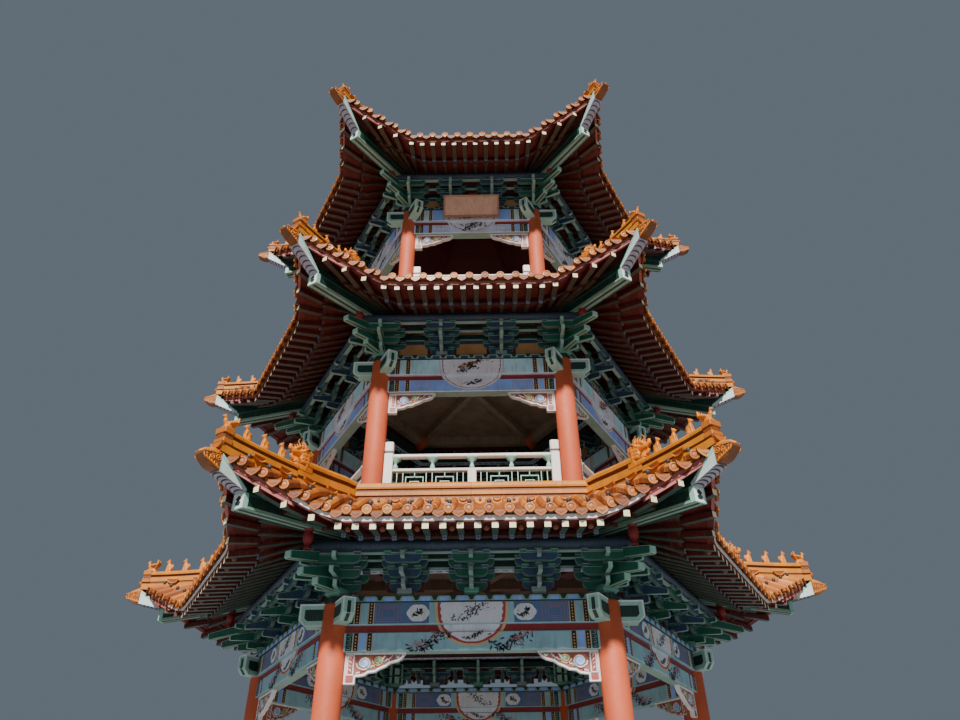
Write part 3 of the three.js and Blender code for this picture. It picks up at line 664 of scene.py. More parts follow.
def tile_field(storey):
    """Barrel tiles and pan tiles of one side, with ringed caps, pointed drips and nails along the eave."""
    foot = (0.064, -0.065)
    barrel = [foot, *arc(0.066, 0.066, np.linspace(0.15, np.pi - 0.15, 5)), (-foot[0], foot[1])]
    pan = [(-0.115, 0.03), (0, -0.010), (0.115, 0.03), (0, -0.032)]
    nail = lathe([(0.018, 0.0), (0.035, 0.040), (0.034, 0.068), (0.012, 0.088)], 7, "nail")
    half = (storey.edge + storey.out) * TAN30
    count = int((half - 0.10) / TILE_ROW)
    barrels = np.arange(-count, count + 1) * TILE_ROW
    pans = (np.arange(-count - 1, count + 1) + 0.5) * TILE_ROW
    pans = pans[np.abs(pans) < half - 0.06]
    forms = [tile_strip(storey, u, barrel, 0.040, "tile") for u in barrels]
    # Pan tiles take a darker glaze than the barrels: painted shade between the barrel rows.
    forms += [tile_strip(storey, u, pan, 0.0, "tile_pan") for u in pans]
    for u, form, lift, out in ((barrels, tile_cap(), 0.040, 0.052), (pans, tile_drip(), 0.010, 0.034),
                               (barrels, nail, 0.098, -0.20)):
        d = storey.edge + out
        here = storey.at(u, np.full_like(u, d), storey.over(d) + lift)
        forms.append(placed(form, here, tints=random.random(len(u))))
    return joined(forms)


def tile_cap():
    """The round end of a barrel row, turned about y: a boss, a sunk ring and a rim, on a collar in the dark
    glaze as painted shade under the cap.
    """
    boss = [(0.010, 0.007), (0.030, 0.004)]
    sunk = [(0.037, -0.001), (0.052, -0.001)]
    rim = [(0.055, 0.008), (0.074, 0.006), (0.073, -0.012)]
    collar = [(0.072, -0.050)]
    profile = np.array(boss + sunk + rim + collar)
    # The collar and the back take the dark glaze: painted shade under the cap.
    kinds = ["tile_cap", "tile_cap", "tile_deep", "tile_cap", "tile_cap", "tile_cap", "ridge_dark"]
    segments = 10
    t = circle(segments)
    r, y = profile[:, :1], profile[:, 1:]
    points = np.stack([r * np.cos(t), y + 0 * t, r * np.sin(t)], -1)
    faces = ring_faces(len(profile), segments)
    groups = [(faces[k * segments:(k + 1) * segments], kind, False) for k, kind in enumerate(kinds)]
    around = np.arange(segments)[None]
    groups += [(around[:, ::-1], "tile_cap", False), (around + len(kinds) * segments, "ridge_dark", False)]
    return outward(Form(points, groups))


def tile_drip():
    """The pointed apron of a pan row: wide at the top, scalloped down to a point, with a leaf on it. Its
    field is in a darker glaze and its edges in the dark glaze, as painted shade round the drips.
    """
    side = [(0.066, -0.070), (0.112, -0.018), (0.122, 0.045), (0.060, 0.012)]
    outline = [(-x, z) for x, z in side[2::-1]] + [(0, -0.112)] + side + [(-0.060, 0.012)]
    leaf = [(-0.052, -0.030), (0, -0.070), (0.052, -0.030), (0, -0.048)]
    # Darker field and dark edges: painted shade between and under the drips.
    apron = board(outline, 0.022, "tile_deep", edge="ridge_dark", border=0.012, line="tile_cap", relief=0.007)
    return joined([apron, board(leaf, 0.016, "ridge_dark")])


# Eaves
def roof_bed(storey):
    """The boards and the tile bed under the tiles, bent like the eave. The underside of the third
    roof climbs at two slopes to the hub, through 17.1 m and 18.45 m."""
    a, b, low = storey.a, storey.beam_top, storey.low
    rows = [storey.edge - 0.06, a + 1.1, a + 0.5, a] + ([] if storey.floor else [1.7, 0.9]) + [storey.inner]
    top = [(storey.eave, b + low + RAFTER + 0.002)] + [(d, storey.over(d) - 0.035) for d in rows]
    if storey.floor:
        under = [(storey.inner, b + 0.98 + (PURLIN_OUT + a - storey.inner) * 0.48)]
    else:
        under = [(storey.inner, 18.45), (1.38, 17.1), (a - 0.4, b + 1.49)]
    under += [(a + PURLIN_OUT, b + 0.978), (a + 1.20, b + low + 0.10), (a + 1.20, b + low + 0.19)]
    return eave_ring(storey, top + under, ["mortar"] * len(top) + ["red_board"] * len(under))


def eave_boards(storey):
    """The board under the drips, white over the level part of the ground storey's eave and pink
    elsewhere, a red board painted lighter as painted sunlight; the thin red board on the rafter ends and the
    lower fascia."""
    z, level_part = storey.eave_z, 0.72
    thin = rectangle(storey.eave - 0.10, storey.eave + 0.018, z + 0.090, z + 0.108)
    fascia = rectangle(storey.a + 1.17, storey.a + 1.235, z + 0.085, z + 0.15)

    def strip(shares, finish):
        """The board under the drips between the first and the last share of the half side."""
        share = np.asarray(shares)[:, None]
        low_edge = z + np.where(np.abs(share) > level_part, 0.09 - storey.sag(share), 0.109)
        front = storey.eave + (0.028 if finish == "white_line" else 0.008)
        section = rectangle(storey.eave - 0.04, front, low_edge, z + 0.180)
        rings = [storey.bent(np.array([d]), height + 0 * share, share)[:, 0] for d, height in section]
        return shell(np.stack(rings, 1), finish)

    # Pink: the red eave board painted lighter, as painted sunlight.
    middle = "white_line" if storey is GROUND else "eave_red"
    strips = [strip(np.linspace(-level_part, level_part, 15), middle)]
    strips += [strip(end * np.linspace(level_part + 0.001, 0.999, 10), "eave_red") for end in (-1, 1)]
    rings = [eave_ring(storey, thin, "red_board"), eave_ring(storey, fascia, "red_dark")]
    return joined([on_sides(joined(strips)), *rings])


def rafter_places(storey):
    """Where the rafters of a side cross the purlin and the eave: parallel to each other, and then
    three on each end that fan out from beside the corner."""
    parallel = (np.arange(storey.rafters) + 0.5) * RAFTER_ROW
    half_eave, half_purlin = (storey.eave + storey.out) * TAN30, (storey.a + PURLIN_OUT) * TAN30
    at_eave = np.append(parallel, np.linspace(parallel[-1] + 0.37, half_eave - 0.48, 3))
    at_purlin = np.append(parallel, np.linspace(parallel[-1] + 0.15, half_purlin - 0.12, 3))
    return np.append(-at_purlin[::-1], at_purlin), np.append(-at_eave[::-1], at_eave)


def beams_between(starts, ends, width, depth, under, end_finish, round_section=False):
    """Straight beams whose undersides run from start to end, upright in section: painted below, red
    on the flanks, and a painted end."""
    along = ends - starts
    across = np.stack([-along[:, 1], along[:, 0], 0 * along[:, 0]], -1)
    across /= np.linalg.norm(across, axis=1)[:, None]
    if round_section:
        section = arc(width / 2, depth / 2, circle(8, np.pi / 8)) + [0, depth / 2]
        finish = ["rafter_red"] * 4 + [under] * 3 + ["rafter_red"]
    else:
        section = np.array(rectangle(-0.5, 0.5, 0, 1)) * [width, depth]
        finish = [under] + ["rafter_red"] * 3
    forms = []
    for start, end, side in zip(starts, ends, across):
        rings = [p + section[:, :1] * side + section[:, 1:] * np.array([0, 0, 1.0]) for p in (start, end)]
        forms.append(shell(rings, finish, ends=end_finish))
    return joined(forms)


def rafters(storey):
    """Lower rafters over the purlin and flying rafters on top of them, along one side. Four dots
    mark the end of each parallel lower rafter; the fanned ones at the corners get plain dark red ends as
    painted shade."""
    a, b, low = storey.a, storey.beam_top, storey.low
    at_purlin, at_eave = rafter_places(storey)

    def bent_line(d, z):
        """Where each rafter passes the distance d, at the height z less the sag."""
        part = (d - a - PURLIN_OUT) / (OVERHANG - PURLIN_OUT)
        u = at_purlin + (at_eave - at_purlin) * part
        points = storey.at(u, np.full_like(u, d), z)
        points[:, 2] -= storey.sag(u / storey.width(d)) * storey.reach(d)
        return points

    low_in = bent_line(a + PURLIN_OUT, b + RAFTER_SEAT)
    low_out = bent_line(a + RAFTER_REACH, b + low + 0.012)
    inside = low_in - (low_out - low_in) * 0.9
    fly_in = bent_line(a + RAFTER_REACH + 0.002, b + low + 0.09)
    fly_out = bent_line(storey.eave, b + low)
    inward = fly_in - (fly_out - fly_in) * 0.5
    # Rafter undersides: dark green on the ground storey, olive-brown on the storeys above.
    under = "rafter" if storey is GROUND else "rafter_old"
    forms = []
    # Dark red ends on the three fanned rafters at each end: painted shade near the corners.
    for part, end_finish in ((slice(3, -3), "rafter_eye"), (slice(0, 3), "rafter_red"),
                             (slice(-3, None), "rafter_red")):
        forms.append(beams_between(inside[part], low_out[part], 0.085, 0.09, under, end_finish, True))
    forms.append(beams_between(inward, fly_out, RAFTER, RAFTER, under, "rafter_end"))
    dot = board(rectangle(-0.009, 0.009, -0.009, 0.009), 0.006, "lilac")
    shifts = [np.array([x, 0, z]) for x in (-0.021, 0.021) for z in (0.024, 0.066)]
    return joined([*forms, placed(dot, [end + shift for end in low_out[3:-3] for shift in shifts])])


def lamps(storey):
    """Small round lamps on the boards, between every second pair of flying rafters."""
    middle = rafter_places(storey)[1][3:-3]
    u = (middle[:-1] + RAFTER_ROW / 2)[::2]
    here = storey.at(u, np.full_like(u, storey.eave - 0.13), storey.eave_z + 0.075)
    profile = [(0.012, -0.068), (0.036, -0.055), (0.050, -0.02), (0.046, 0.005), (0.030, 0.03)]
    return placed(lathe(profile, 10, "lamp"), here)


# Timber frame
def columns(storey):
    """Six round columns, each with a soft edge at its foot and its head."""
    r, low, top = storey.column / 2, storey.foot, storey.beam_top
    profile = [(r - 0.012, low), (r, low + 0.012), (r, top - 0.03), (r - 0.02, top)]
    return placed(lathe(profile, 48, "column"), six_places(storey.ring))


def face_bands(storey):
    """The three upright faces of the ring beam: lowest, highest and how far out each stands."""
    low, top = storey.beam_low, storey.beam_top
    return ((low + 0.012, low + 0.268, 0.11), (low + 0.28, low + 0.385, 0.085),
            (low + 0.395, top - 0.012, 0.15))


def ring_beam(storey):
    """Lower beam, recessed strip, upper beam and flat board as one hexagonal ring."""
    a, top = storey.a, storey.beam_top
    (z0, z1, lower), (y0, y1, strip), (x0, x1, upper) = face_bands(storey)
    soft = 0.012
    outside = [(lower - soft, z0 - soft), (lower, z0), (lower, z1), (lower - soft, z1 + soft), (strip, y0),
               (strip, y1), (upper - 0.01, y1), (upper, x0), (upper, x1), (upper - 0.01, top), (0.17, top),
               (0.17, top + PLATE)]
    # Paler beam colour on the storeys above: partly paint, partly painted sky light.
    base = "old_teal" if storey is GROUND else "sky_blue"
    kinds = [base] * 3 + ["strip_red"] * 2 + [base] * 4 + ["green_deep"] * 2
    profile = [(a + v, z) for v, z in mirrored(outside)]
    return hexagon_ring(profile, kinds + ["green_deep"] + kinds[::-1] + ["pale_line"])


def beam_heads(storey):
    """The ends of the ring beam beyond each column: upright above and cut back below, bordered in
    white."""
    a, top, start, reach = storey.a, storey.beam_top, storey.half - 0.04, storey.half + 0.56
    outline = [(start, top - 0.34), (reach - 0.10, top - 0.34), (reach, top - 0.25), (reach, top + 0.002),
               (start, top + 0.002)]
    head = board(outline, 0.20, "mint", border=0.024, line="white_paint")
    field = board(inset(outline, 0.085), 0.196, "green_deep")
    rim = dict(edge="white_paint", border=0.018, line="white_paint", relief=0.001)
    front = board(rectangle(-0.098, 0.098, -0.245, 0), 0.006, "mint", **rim)
    slot = board(rectangle(-0.028, 0.028, -0.24, -0.06), 0.010, "green_deep")
    front = copies(joined([front, slot]), SWAP, [reach, 0, top])
    c, s = np.array([0.09, 0.10]) / math.hypot(0.09, 0.10)
    turn = np.array([[0, c, s], [1, 0, 0], [0, -s, c]])
    below = board(rectangle(-0.028, 0.028, -0.066, 0.066), 0.010, "green_deep")
    below = copies(below, turn, [reach - 0.05, 0, top - 0.295])
    return on_sides(both_ways(placed(joined([head, field, front, below]), [0, a, 0])))


def lobe(storey, z, width, bottom):
    """Half width of the middle panel at height z: full at the top and drawn in to a blunt point."""
    depth = np.clip((storey.beam_top - z) / (storey.beam_top - bottom), 0, 1)
    return width * (1 - depth ** 3.2) ** 0.6


def paint_patch(outline, out, finish, layer):
    """A thin raised patch of paint with its outline in u and z, that much out from the middle of the
    beam."""
    coat = 0.0012
    return placed(board(outline, coat * (1 + layer), finish), [0, out + coat / 2 * layer, 0])


def paint_block(x0, x1, z0, z1, out, finish, layer):
    """A rectangular patch of paint between two places along the beam and two heights."""
    return paint_patch(rectangle(x0, x1, z0, z1), out, finish, layer)


# Layers of the half-round middle panel: half width, lowest point over the beam's, finish, scallops
RICH_PANEL = ((0.57, 0.06, "gold_line", 0.0), (0.53, 0.09, "scallop_red", 0.0),
              (0.495, 0.12, "picture", 0.020))
PLAIN_PANEL = ((0.65, 0.02, "gold_line", 0.0), (0.635, 0.03, "sky_blue", 0.0),
               (0.595, 0.055, "scallop_red", 0.0), (0.585, 0.065, "picture", 0.016))


def panel_layers(storey):
    """The half-round middle panel in layers, from its gold rim to the scalloped white picture."""
    forms = []
    for number, (width, drop, finish, scallop) in enumerate(RICH_PANEL if storey is GROUND else PLAIN_PANEL):
        bottom = storey.beam_low + drop
        for z0, z1, out in face_bands(storey):
            if z1 <= bottom:
                continue
            z = np.linspace(max(z0, bottom), z1, 17 if z1 - z0 > 0.15 else 6)
            w = lobe(storey, z, width, bottom) - scallop * (0.5 + 0.5 * np.cos(z * 62))
            right = np.stack([w, z], -1)[w > 0.004]
            forms.append(paint_patch(mirrored(right), out, finish, number + 2))
    return forms


def sprays(centre, size, count, finish, out, layer, leaf=0.03):
    """A generic spray of small pointed leaves, scattered round a drooping stem."""
    forms = []
    for _ in range(count):
        along = random.normal(0, 0.42)
        x = centre[0] + size[0] * np.clip(along, -1, 1)
        z = centre[1] + size[1] * np.clip(0.5 * np.sin(along * 2.5) + random.normal(0, 0.25), -0.62, 0.62)
        turn, length = random.uniform(0, np.pi), leaf * random.uniform(0.5, 1.2)
        c, s = math.cos(turn), math.sin(turn)
        diamond = np.array([(-1, 0), (0.1, -0.32), (1, 0), (0.1, 0.32)]) * length
        forms.append(paint_patch(diamond @ np.array([[c, s], [-s, c]]) + [x, z], out, finish, layer))
    return forms


def bead_bands(x, z0, z1, out):
    """An upright gold-edged band with a row of small gold beads on dark red."""
    forms = [paint_block(x - 0.045, x + 0.045, z0, z1, out, "gold_line", 1),
             paint_block(x - 0.034, x + 0.034, z0, z1, out, "red_dark", 2)]
    bead = arc(0.013, 0.013, circle(5))
    heights = np.arange(z0 + 0.025, z1 - 0.01, 0.045)
    return forms + [paint_patch(bead + [x, z], out, "gold_line", 4) for z in heights]


# Fields of the upper and of the lower beam, and between the bead bands of the upper one. The storeys above
# are paler than the ground storey: partly their paint, partly painted light for the open sky they face.
FIELD_PAINTS = {"ground": ("old_blue", "old_teal", "old_teal"), "second": ("teal", "deep_blue", "teal"),
                "third": ("deep_blue", "sky_blue", "teal")}


def beam_painting(storey):
    """Painted panels, bands and sprays on the outer face of one side."""
    clear = storey.half - storey.column / 2
    lower, _, upper = face_bands(storey)
    rich = storey is GROUND
    upper_paint, lower_paint, between = FIELD_PAINTS[storey.name]
    inner_band, outer_band = clear - 0.36, clear - 0.15
    forms = panel_layers(storey)
    for end in (-1, 1):
        for band, paint in ((lower, "deep_blue"), (upper, between)):
            for middle in (inner_band, outer_band):
                forms += bead_bands(end * middle, *band)
            x0, x1 = sorted((end * (inner_band + 0.05), end * (outer_band - 0.05)))
            forms.append(paint_block(x0, x1, *band, paint, 1))
        for start, band, paint in ((0.66, upper, upper_paint), (0.0, lower, lower_paint)):
            x0, x1 = sorted((end * start, end * (inner_band - 0.05)))
            forms.append(paint_block(x0, x1, *band, paint, 1))
        forms += meander_strip(sorted((end * (outer_band + 0.055), end * clear)), (lower, upper))
        if rich:
            forms += cloud_and_sprays(end, lower, upper)
        z0, z1, out = upper if rich else lower
        forms += fret_patch(end * (inner_band - 0.07), end, (z0 + 0.03, z1 - 0.03, out))
    return joined(forms + picture_strokes(storey))


def cloud_and_sprays(end, lower, upper):
    """A rippled white cloud with a spray in it on the upper beam, and a flowering spray on the lower
    one."""
    (y0, y1, inward), (z0, z1, out) = lower, upper
    low_middle, high_middle = (y0 + y1) / 2, (z0 + z1) / 2
    t = circle(24)
    ripple = 1 + 0.09 * np.abs(np.cos(3 * t))
    cloud = arc(0.165, 0.125, t) * ripple[:, None] + [end * 0.83, high_middle]
    forms = [paint_patch(cloud, out, "picture", 2)]
    dark = "ink_green" if end < 0 else "ink"
    forms += sprays((end * 0.83, high_middle), (0.11, 0.10), 24, dark, out, 4, 0.038)
    forms += sprays((end * 0.62, low_middle - 0.01), (0.36, 0.20), 72, "ink", inward, 4, 0.042)
    forms += sprays((end * 0.68, low_middle + 0.03), (0.34, 0.16), 26, "blossom", inward, 5, 0.036)
    return forms


def fret_patch(start, end, band):
    """Three square frames of thin pink lines, one in another, next to the bead bands."""
    z0, z1, out = band
    forms, thin = [], 0.006
    for k in range(3):
        x0, x1 = sorted((start - end * (0.40 - 0.05 * k), start - end * 0.05 * k))
        a, b = z0 + 0.028 * k, z1 - 0.028 * k
        if b - a < 0.03:
            continue
        lines = ((x0, x1, a, a + thin), (x0, x1, b - thin, b), (x0, x0 + thin, a, b), (x1 - thin, x1, a, b))
        forms += [paint_block(*line, out, "fret_pink", 2) for line in lines]
    return forms


def meander_strip(ends, bands):
    """A dark green strip beside the column, with small pale hooks one above another."""
    forms = []
    x0, x1 = ends
    middle, w = (x0 + x1) / 2, (x1 - x0) * 0.30
    right, thin = middle + w, 0.008
    for z0, z1, out in bands:
        forms.append(paint_block(x0, x1, z0, z1, out, "green_deep", 1))
        for z in np.arange(z0 + 0.02, z1 - 0.05, 0.062):
            hook = ((middle - w, right, z, z + thin), (right - thin, right, z, z + 0.04),
                    (middle - w * 0.3, right, z + 0.04 - thin, z + 0.04))
            forms += [paint_block(*line, out, "pale_line", 2) for line in hook]
    return forms


def picture_strokes(storey):
    """Loose generic branches and leaves on the middle panel: centre, size, count and so on of each."""
    (_, y1, low_out), (_, _, strip_out), (z0, z1, high_out) = face_bands(storey)
    middle = (z0 + z1) / 2
    pictures = {
        "ground": (((0, middle + 0.01), (0.36, 0.20), 70, "ink", high_out, 6, 0.030),
                   ((0.05, y1 - 0.05), (0.22, 0.08), 30, "ink", low_out, 6, 0.030)),
        "second": (((0, middle + 0.06), (0.42, 0.14), 64, "plaque_edge", high_out, 7, 0.050),
                   ((-0.05, middle - 0.07), (0.28, 0.10), 34, "ink", high_out, 7, 0.040),
                   ((0.05, y1 - 0.06), (0.24, 0.10), 34, "ink", low_out, 7, 0.040)),
        "third": (((0, middle), (0.38, 0.20), 60, "ink", high_out, 7, 0.047),
                  ((0, y1 - 0.06), (0.34, 0.20), 60, "ink", low_out, 7, 0.047),
                  ((0, y1 + 0.06), (0.34, 0.08), 30, "ink", strip_out, 7, 0.038)),
    }
    return [leaf for picture in pictures[storey.name] for leaf in sprays(*picture)]


def plate_clouds(storey):
    """Cloud scallops along the front of the flat board: a pale outline round a blue middle."""
    half = 0.144
    outer = [(half, 0.0), (half, 0.014), (0.118, 0.016), (0.108, 0.05), (0.084, 0.080)]
    inner = [(0.070, 0.0), (0.078, 0.040), (0.060, 0.060)]
    blue = "deep_blue" if storey is GROUND else "blue"
    z0 = storey.beam_top + 0.008
    count = int((storey.half - 0.05) / half)
    forms = []
    for x in (np.arange(count) - (count - 1) / 2) * 2 * half:
        forms.append(paint_patch(np.array(mirrored(outer)) + [x, z0], 0.17, "pale_line", 1))
        forms.append(paint_patch(np.array(mirrored(inner)) + [x, z0], 0.17, blue, 2))
    return joined(forms)


def both_faces(storey, form):
    """A painting on the outer face of the beam, and the same on its inner face, on all sides."""
    outer = placed(form, [0, storey.a, 0])
    inner = copies(form, np.diag([1.0, -1, 1]), [0, storey.a, 0])
    return on_sides(joined([outer, inner]))


def brace_carving(y):
    """The carving on one face of a brace, y out from its middle. Its top corner at the column is the
    origin: two spirals with a ball in each, small curls below them, buds at the thin end, and an
    upright panel of leaves with a block under it."""
    forms = []
    for (cx, cz), radius, finish, line in (((-0.29, -0.15), 0.115, "deep_blue", "white_paint"),
                                           ((-0.50, -0.115), 0.085, "mint_deep", "gold_line")):
        t = np.linspace(0.4, 4.0 * np.pi, 25)
        r = radius * (0.18 + 0.82 * t / t[-1])
        path = np.stack([cx + r * np.cos(t), y + 0 * t, cz + r * np.sin(t) * 0.9], -1)
        forms.append(limb(path[path[:, 2] < -0.02], 0.013, line, 5))
        forms.append(ball((cx, y * 1.02, cz), (radius * 0.72, 0.010, radius * 0.62), finish, 5, 10))
    for k in range(9):
        x, z = -0.20 - 0.072 * k, -0.31 + 0.030 * k
        curl = [(x + 0.035, y, z - 0.01), (x + 0.01, y, z + 0.025), (x - 0.03, y, z + 0.03),
                (x - 0.045, y, z + 0.005)]
        finish = ("white_paint", "scallop_red", "mint_deep")[k % 3]
        forms.append(limb(curl, (0.008, 0.014, 0.012, 0.005), finish, 5))
    for k in range(5):
        x = -0.60 - 0.055 * k
        bud = [(x + 0.05, y, 0.016 * k - 0.12), (x + 0.02, y, -0.08), (x - 0.01, y, -0.04)]
        forms.append(limb(bud, (0.012, 0.016, 0.006), ("white_paint", "scallop_red")[k % 2], 5))
    forms.append(box((-0.140, y - 0.006, -0.32), (-0.035, y + 0.006, -0.03), "white_paint"))
    forms.append(box((-0.122, y - 0.008, -0.30), (-0.053, y + 0.008, -0.05), "scallop_red"))
    for k in range(4):
        z, out = 0.058 * k - 0.275, y * 1.25
        leaf = [(-0.105, out, z), (-0.085, out, z + 0.028), (-0.066, out, z + 0.046)]
        forms.append(limb(leaf, (0.006, 0.012, 0.005), ("white_paint", "gold_line")[k % 2], 5))
    forms.append(box((-0.135, y - 0.006, -0.42), (-0.035, y + 0.006, -0.37), "scallop_red"))
    return forms


def braces(storey):
    """A carved brace at both ends of each side: a white edge, a sunk field and raised scrolls."""
    outline = [(-0.92, 0.0), (-0.86, -0.09), (-0.80, -0.125), (-0.68, -0.155), (-0.62, -0.20),
               (-0.53, -0.235), (-0.46, -0.275), (-0.36, -0.285), (-0.30, -0.325), (-0.17, -0.34),
               (-0.17, -0.44), (0, -0.44), (0, 0)]
    rim = dict(edge="white_paint", border=0.028, line="white_paint", relief=0.012)
    blank = board(outline, 0.09, "brace_field", **rim)
    one = joined([blank, *brace_carving(-0.036), *brace_carving(0.036)])
    start = storey.half - storey.column / 2 - 0.003
    return on_sides(both_ways(placed(one, [start, storey.a, storey.beam_low + 0.002])))


# Bracket sets
FINE_LINE = dict(border=0.0055, line="pale_line", relief=0.003)


def lever(width, back, reach, ends, root, finish):
    """An arm that slants down outwards: level inside, then tapering to a blunt end. Ends and root
    give its lower and upper height. It lies along x."""
    outline = [(-back, root[0]), (0.10, root[0]), (reach, ends[0]), (reach + 0.012, ends[1]),
               (0.34, root[1]), (-back, root[1])]
    return board(outline, width, finish, edge="pale_line", **FINE_LINE)


def bearing(size, height, finish):
    """A bearing block: square, its lower part drawn in, with a pale line where it turns."""
    square = np.array(rectangle(-0.5, 0.5, -0.5, 0.5)) * size

    def part(low, high, kind):
        """The block between two shares (of its height, of its size)."""
        rings = [np.column_stack([square * share, np.full(4, height * up)]) for up, share in (low, high)]
        return shell(rings, kind)

    return joined([part((0, 0.72), (0.40, 0.98), finish), part((0.40, 1.04), (0.50, 1.04), "pale_line"),
                   part((0.50, 1.0), (1, 1.0), finish)])


def arm(half, y, z, finish, start=None):
    """A cross arm along a side, its lower corners rounded up, from start (or its own mirror) to half,
    at y out from the column line."""
    height = 0.13
    right = [(half - 0.11, 0), (half - 0.05, 0.012), (half - 0.015, 0.045), (half, height * 0.62),
             (half, height)]
    outline = mirrored(right) if start is None else right + [(start, height), (start, 0.0)]
    return placed(board(outline, 0.075, finish, edge="arm_under", **FINE_LINE), [0, y, z])


# Cross arms of a set: half length, distance out and height above the flat board
CROSS_ARMS = ((0.25, 0.0, 0.10), (0.37, 0.0, 0.25), (0.265, 0.26, 0.25), (0.37, 0.26, 0.40),
              (0.30, 0.52, 0.40))
# Slanting arms of a set between columns, beside a corner and along a corner: width, how far back and
# out they reach, lower and upper height of the end (only the lower along a corner) and of the root
SET_LEVERS = ((0.066, 0.34, 0.36, (0.10, 0.20), (0.10, 0.235)),
              (0.068, 0.50, 0.70, (0.19, 0.275), (0.27, 0.40)),
              (0.066, 0.54, 0.64, (0.46, 0.55), (0.42, 0.55)))
BESIDE_CORNER = ((0.07, 0.30, 0.38, (0.10, 0.20), (0.10, 0.24)),
                 (0.07, 0.30, 0.74, (0.21, 0.30), (0.27, 0.41)),
                 (0.07, 0.30, 0.68, (0.46, 0.55), (0.42, 0.55)))
ALONG_CORNER = ((0.125, 0.30, 0.56, 0.09, (0.10, 0.25)), (0.125, 0.30, 0.90, 0.15, (0.30, 0.44)),
                (0.125, 0.30, 1.20, 0.31, (0.54, 0.66)))


def bracket_set(main, other):
    """One bracket set in its own frame: x along the side, y out from the column line, z above the flat
    board."""
    foot = bearing(0.23, 0.13, "mint_deep" if main == "green" else "grey_paint")
    forms, places = [placed(foot, [0, 0, 0.002])], []
    for half, y, z in CROSS_ARMS:
        forms.append(arm(half, y, z, main))
        places += [(x * (half - 0.055), y, z + 0.134) for x in (-1, 1)]
    for width, back, reach, ends, root in SET_LEVERS:
        forms.append(copies(lever(width, back, reach, ends, root, main), SWAP))
        side = width / 2 - 0.006
        low, high = (-side, reach + 0.002, ends[0] + 0.012), (side, reach + 0.018, ends[1] - 0.010)
        forms.append(box(low, high, "grey_paint"))
    places += [(0, 0.26, 0.40), (0, 0.0, 0.40), (0, 0.52, 0.55)]
    forms.append(placed(bearing(0.115, 0.08, other), places))
    forms.append(box((-0.30, -0.02, 0.10), (0.30, 0.02, 0.44), "red_infill"))
    return joined(forms)


def corner_set(drop):
    """A corner bracket set: x across the corner, y out along it. Slanting arms run straight out from
    both sides and, broader, longer and with their ends lower by the drop, along the corner."""
    forms = [placed(bearing(0.30, 0.13, "mint_deep"), [0, 0, 0.002])]
    for sine in (-0.5, 0.5):
        turn = np.array([[sine, COS30, 0], [COS30, -sine, 0], [0, 0, 1.0]])
        for width, back, reach, ends, root in BESIDE_CORNER:
            forms.append(copies(lever(width, back, reach, ends, root, "green"), turn))
            side = width / 2 - 0.006
            low, high = (reach + 0.002, -side, ends[0] + 0.010), (reach + 0.018, side, ends[1] - 0.010)
            forms.append(copies(box(low, high, "mint"), turn))
    for width, back, reach, end_low, root in ALONG_CORNER:
        low, edge, middle = end_low - drop * (reach - 0.5), width / 2, 0.014
        forms.append(copies(lever(width, back, reach, (low, low + 0.115), root, "green"), SWAP))
        strips = [(-edge, -middle, "green_pale"), (middle, edge, "green_pale"),
                  (-middle, middle, "green_deep")]
        forms += underside_strips((0.11, root[0]), (reach - 0.01, low), strips, 0.003)
        forms.append(box((-0.055, reach, low + 0.008), (0.055, reach + 0.022, low + 0.108), "mint"))
    return joined(forms)


def transfer_strips(node, above, storey):
    """Pale strips with a dashed dark line under the transfer beams: round the ring that carries the
    columns above and along the beams out to the corners."""
    low, thick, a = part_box(node)[0][2] - 0.0004, 0.005, above.ring * COS30
    forms = [ring_bar(a, 0.085, low - thick, low, "sky_blue")]
    spoke = box((-0.09, above.ring + 0.16, low - thick), (0.09, storey.ring - 0.36, low), "sky_blue")
    forms.append(on_corners(spoke))
    dash, apart = box((-0.05, -0.012, low - 0.008), (0.05, 0.012, low - thick), "ink"), 0.16
    half = a * TAN30 - apart
    forms.append(on_sides(placed(dash, [[x, a, 0] for x in np.arange(-half, half, apart)])))
    return joined(forms)


def side_sets(storey):
    """The bracket sets of one side, in turn green and blue, and the cut-off cross arms at its ends."""
    half, a, z = storey.half, storey.a, storey.plate
    forms = []
    for k in range(storey.sets):
        pair = ("green", "blue") if storey.sets == 3 and k == 1 else ("blue", "green")
        forms.append(placed(bracket_set(*pair), [-half + (k + 1) * storey.ring / (storey.sets + 1), a, z]))
    small = bearing(0.115, 0.08, "slate")
    for end in (-1, 1):
        for length, y, low in CROSS_ARMS:
            reach = half - length - 0.10
            cross = arm(-reach, y, low, "green", -half - y * TAN30)
            block = placed(small, [-reach - 0.055, y, low + 0.134])
            forms.append(copies(joined([cross, block]), np.diag([-end, 1.0, 1]), [0, a, z]))
    return joined(forms)


